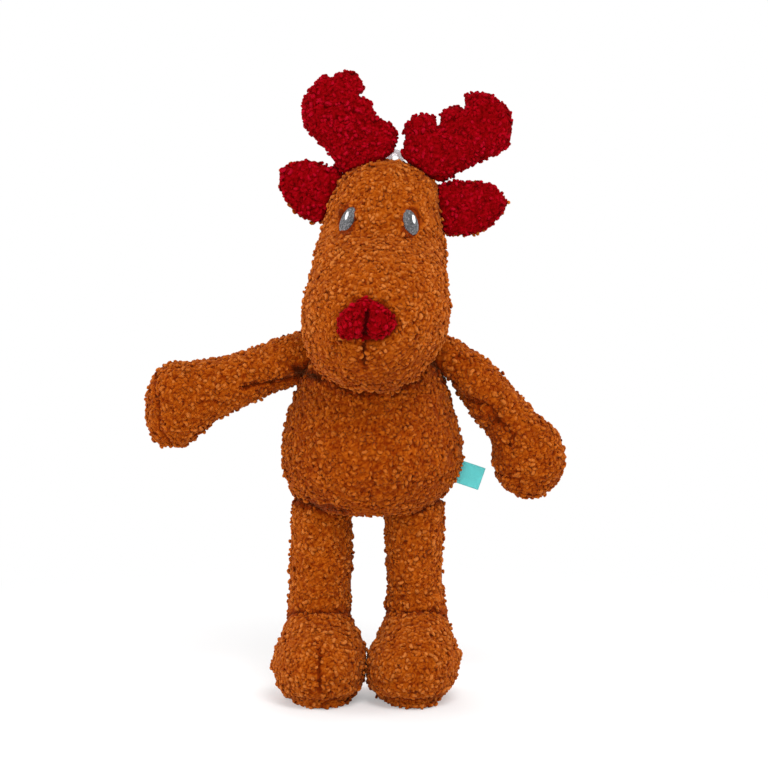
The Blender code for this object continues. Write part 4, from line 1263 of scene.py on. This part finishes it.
def make_label():
    """A ribbon folded double, held in the side seam at its cut ends."""
    up = joint_axis("label_flap")
    root = joint_place("label_flap") - up * LABEL_DROP * MM
    out = unit(np.cross((0, 1, 0), up))
    back = np.cross(up, out)
    path = label_path()
    points = []
    for layer, i in itertools.product((-1, 1), range(LABEL_STEPS + 1)):
        a, b = path[max(i - 1, 0)], path[min(i + 1, LABEL_STEPS)]
        tangent = unit((b[0] - a[0], b[1] - a[1]))
        run, gap = path[i] + np.array((-tangent[1], tangent[0])) * layer * LABEL_THICK / 2
        for j in range(LABEL_ROWS + 1):
            v = (j / LABEL_ROWS * 2 - 1) * LABEL_HALF
            wave = 0.25 * math.sin(j * 0.5) * run / LABEL_LENGTH
            points.append(root + (out * (run - LABEL_HELD) + up * v + back * (gap + wave)) * MM)
    wide = LABEL_ROWS + 1
    count = (LABEL_STEPS + 1) * wide
    faces = []
    for i, j in itertools.product(range(LABEL_STEPS), range(LABEL_ROWS)):
        a = i * wide + j
        faces.append((a, a + 1, a + wide + 1, a + wide))
        faces.append((count + a + wide, count + a + wide + 1, count + a + 1, count + a))
    border = [i * wide for i in range(LABEL_STEPS + 1)]
    border += [LABEL_STEPS * wide + j for j in range(1, wide)]
    border += [i * wide + LABEL_ROWS for i in range(LABEL_STEPS - 1, -1, -1)]
    border += range(LABEL_ROWS - 1, -1, -1)
    faces += [(a, b, count + b, count + a) for a, b in zip(border, border[1:])]
    mesh = clean_mesh("label_ribbon_piece", points, faces)
    mesh.shade_smooth()
    label = new_object("label_ribbon_piece", mesh)
    wear(label, ribbon_material(), "label_ribbon", "label", "label")


# How far the loop stands aside of its solid and how much lower its top is
LOOP_ASIDE = 4.5 * MM
LOOP_LOWER = 2.6 * MM
LOOP_HALF = 3.7 * MM
LOOP_THICK = 2.0 * MM
LOOP_STEPS = 24


def make_hang_loop():
    """A clear arch whose feet go into the crown."""
    low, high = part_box("hang_loop")
    centre = (low + high) / 2
    foot_z = low.z - 1 * MM
    top = high.z - LOOP_LOWER - LOOP_THICK - LOOP_HALF
    curve = bpy.data.curves.new("hang_loop_clear", "CURVE")
    curve.dimensions = "3D"
    curve.bevel_depth = LOOP_THICK
    curve.bevel_resolution = 6
    curve.use_fill_caps = True
    turns = [math.pi * (1 - i / LOOP_STEPS) for i in range(LOOP_STEPS + 1)]
    arch = [(LOOP_HALF * math.cos(a), top + LOOP_HALF * math.sin(a)) for a in turns]
    spots = [(-LOOP_HALF, foot_z), *arch, (LOOP_HALF, foot_z)]
    line = curve.splines.new("POLY")
    line.points.add(len(spots) - 1)
    for point, (x, z) in zip(line.points, spots):
        point.co = (centre.x + LOOP_ASIDE + x, centre.y, z, 1)
    wear(new_object("hang_loop_clear", curve), CLEAR, "clear_plastic", "head", "hang_loop")


# ---------------------------------------------------------------- stage
def direct_rays(tree):
    """1 for the rays of the camera, of gloss and through glass, 0 for those that light the object."""
    path = node(tree, "LightPath")
    some, every = node(tree, "Math", operation="MAXIMUM"), node(tree, "Math", operation="MAXIMUM")
    wire(
        tree, (path, "Is Camera Ray", some, 0), (path, "Is Glossy Ray", some, 1), (some, 0, every, 0),
        (path, "Is Transmission Ray", every, 1),
    )
    return every


FLOOR_SIZE = 12
# Where the floor's own grey starts to go over into white, and where it has done so
FLOOR_FADE = {"From Min": 0.14, "From Max": 0.50}


def make_floor():
    """A pale floor that goes over into plain white away from the toy."""
    bpy.ops.mesh.primitive_plane_add(size=FLOOR_SIZE, location=(0, 0, 0))
    floor = bpy.context.object
    floor.name = "floor"
    material, tree, shader = material_of(
        "floor_white", {"Roughness": 1.0, "Specular IOR Level": 0.0, "Emission Color": WHITE},
    )
    rays = direct_rays(tree)
    place = node(tree, "NewGeometry")
    reach = node(tree, "VectorMath", operation="LENGTH")
    far = node(tree, "MapRange", FLOOR_FADE, interpolation_type="SMOOTHSTEP")
    own = node(tree, "MapRange", {"To Min": 0.64, "To Max": 0.0})
    paint = node(tree, "Mix", {"A": 0.93}, data_type="FLOAT")
    level = node(tree, "MapRange", {"To Min": 0.325, "To Max": 1.0})
    glow = node(tree, "Math", operation="MULTIPLY")
    wire(
        tree, (place, "Position", reach, 0), (reach, "Value", far, "Value"), (far, "Result", own, "Value"),
        (rays, 0, paint, "Factor"), (own, "Result", paint, "B"), (paint, "Result", shader, "Base Color"),
        (far, "Result", level, "Value"), (rays, 0, glow, 0), (level, "Result", glow, 1),
        (glow, 0, shader, "Emission Strength"),
    )
    floor.data.materials.append(material)


# Name, place, target, size and power
LAMPS = (
    ("key", (0.35, -1.1, 1.55), (0, 0, 0.2), 0.9, 18.5),
    ("fill", (-0.6, -1.6, 0.30), (0, 0, 0.12), 1.2, 8.3),
    ("back", (-0.3, 1.5, 1.2), (0, 0, 0.25), 1.4, 8),
    ("side_right", (-1.5, 0.35, 0.40), (0, 0, 0.2), 1.0, 12),
    ("side_left", (1.5, 0.35, 0.40), (0, 0, 0.2), 1.0, 9),
)


def make_lights():
    world = bpy.data.worlds.new("white_room")
    bpy.context.scene.world = world
    world.use_nodes = True
    tree = world.node_tree
    background = tree.nodes["Background"]
    background.inputs["Color"].default_value = WHITE
    level = node(tree, "MapRange", {"To Min": 0.60, "To Max": 1.0})
    wire(tree, (direct_rays(tree), 0, level, "Value"), (level, "Result", background, "Strength"))
    for name, place, target, size, power in LAMPS:
        data = bpy.data.lights.new(name, "AREA")
        data.shape = "DISK"
        data.size = size
        data.energy = power
        lamp = new_object(name, data)
        lamp.location = place
        lamp.rotation_euler = (Vector(target) - Vector(place)).to_track_quat("-Z", "Y").to_euler()


def make_camera():
    data = bpy.data.cameras.new("camera")
    data.sensor_width = SENSOR_WIDTH
    data.lens = data.sensor_width * CAMERA_AWAY / FRAME_WIDTH
    camera = new_object("camera", data)
    camera.location = CAMERA_PLACE
    camera.rotation_euler = Vector(SIGHT).to_track_quat("-Z", "Y").to_euler()
    bpy.context.scene.camera = camera
    bpy.context.scene.view_settings.view_transform = "Standard"


make_torso()
make_head()
make_nose()
for word, sign in SIDES:
    make_eye(word)
    for make in (make_ear, make_antler, make_arm, make_leg, make_foot):
        make(word, sign)
make_label()
make_hang_loop()
WALLS = {thing.name: wall_of(thing) for thing, _, _, _ in SKINS}
paint_crease_shade(WALLS)
paint_fold_shade()
for word, _ in SIDES:
    WALLS[f"eye_{word}_stitches"] = wall_of(bpy.data.objects[f"eye_{word}_stitches"])
for thing, salt, amount, dark in SKINS:
    for curls in add_curls(thing, salt, amount, dark, WALLS):
        material = thing.data.materials[0]
        wear(curls, material, "red_fleece" if material == RED else "brown_fleece", thing["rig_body"])
for name in ("torso_filling", "head_filling", "neck_filling"):
    for slot in frame["nodes"][name].material_slots:
        slot.material = FILLING
make_floor()
make_lights()
make_camera()
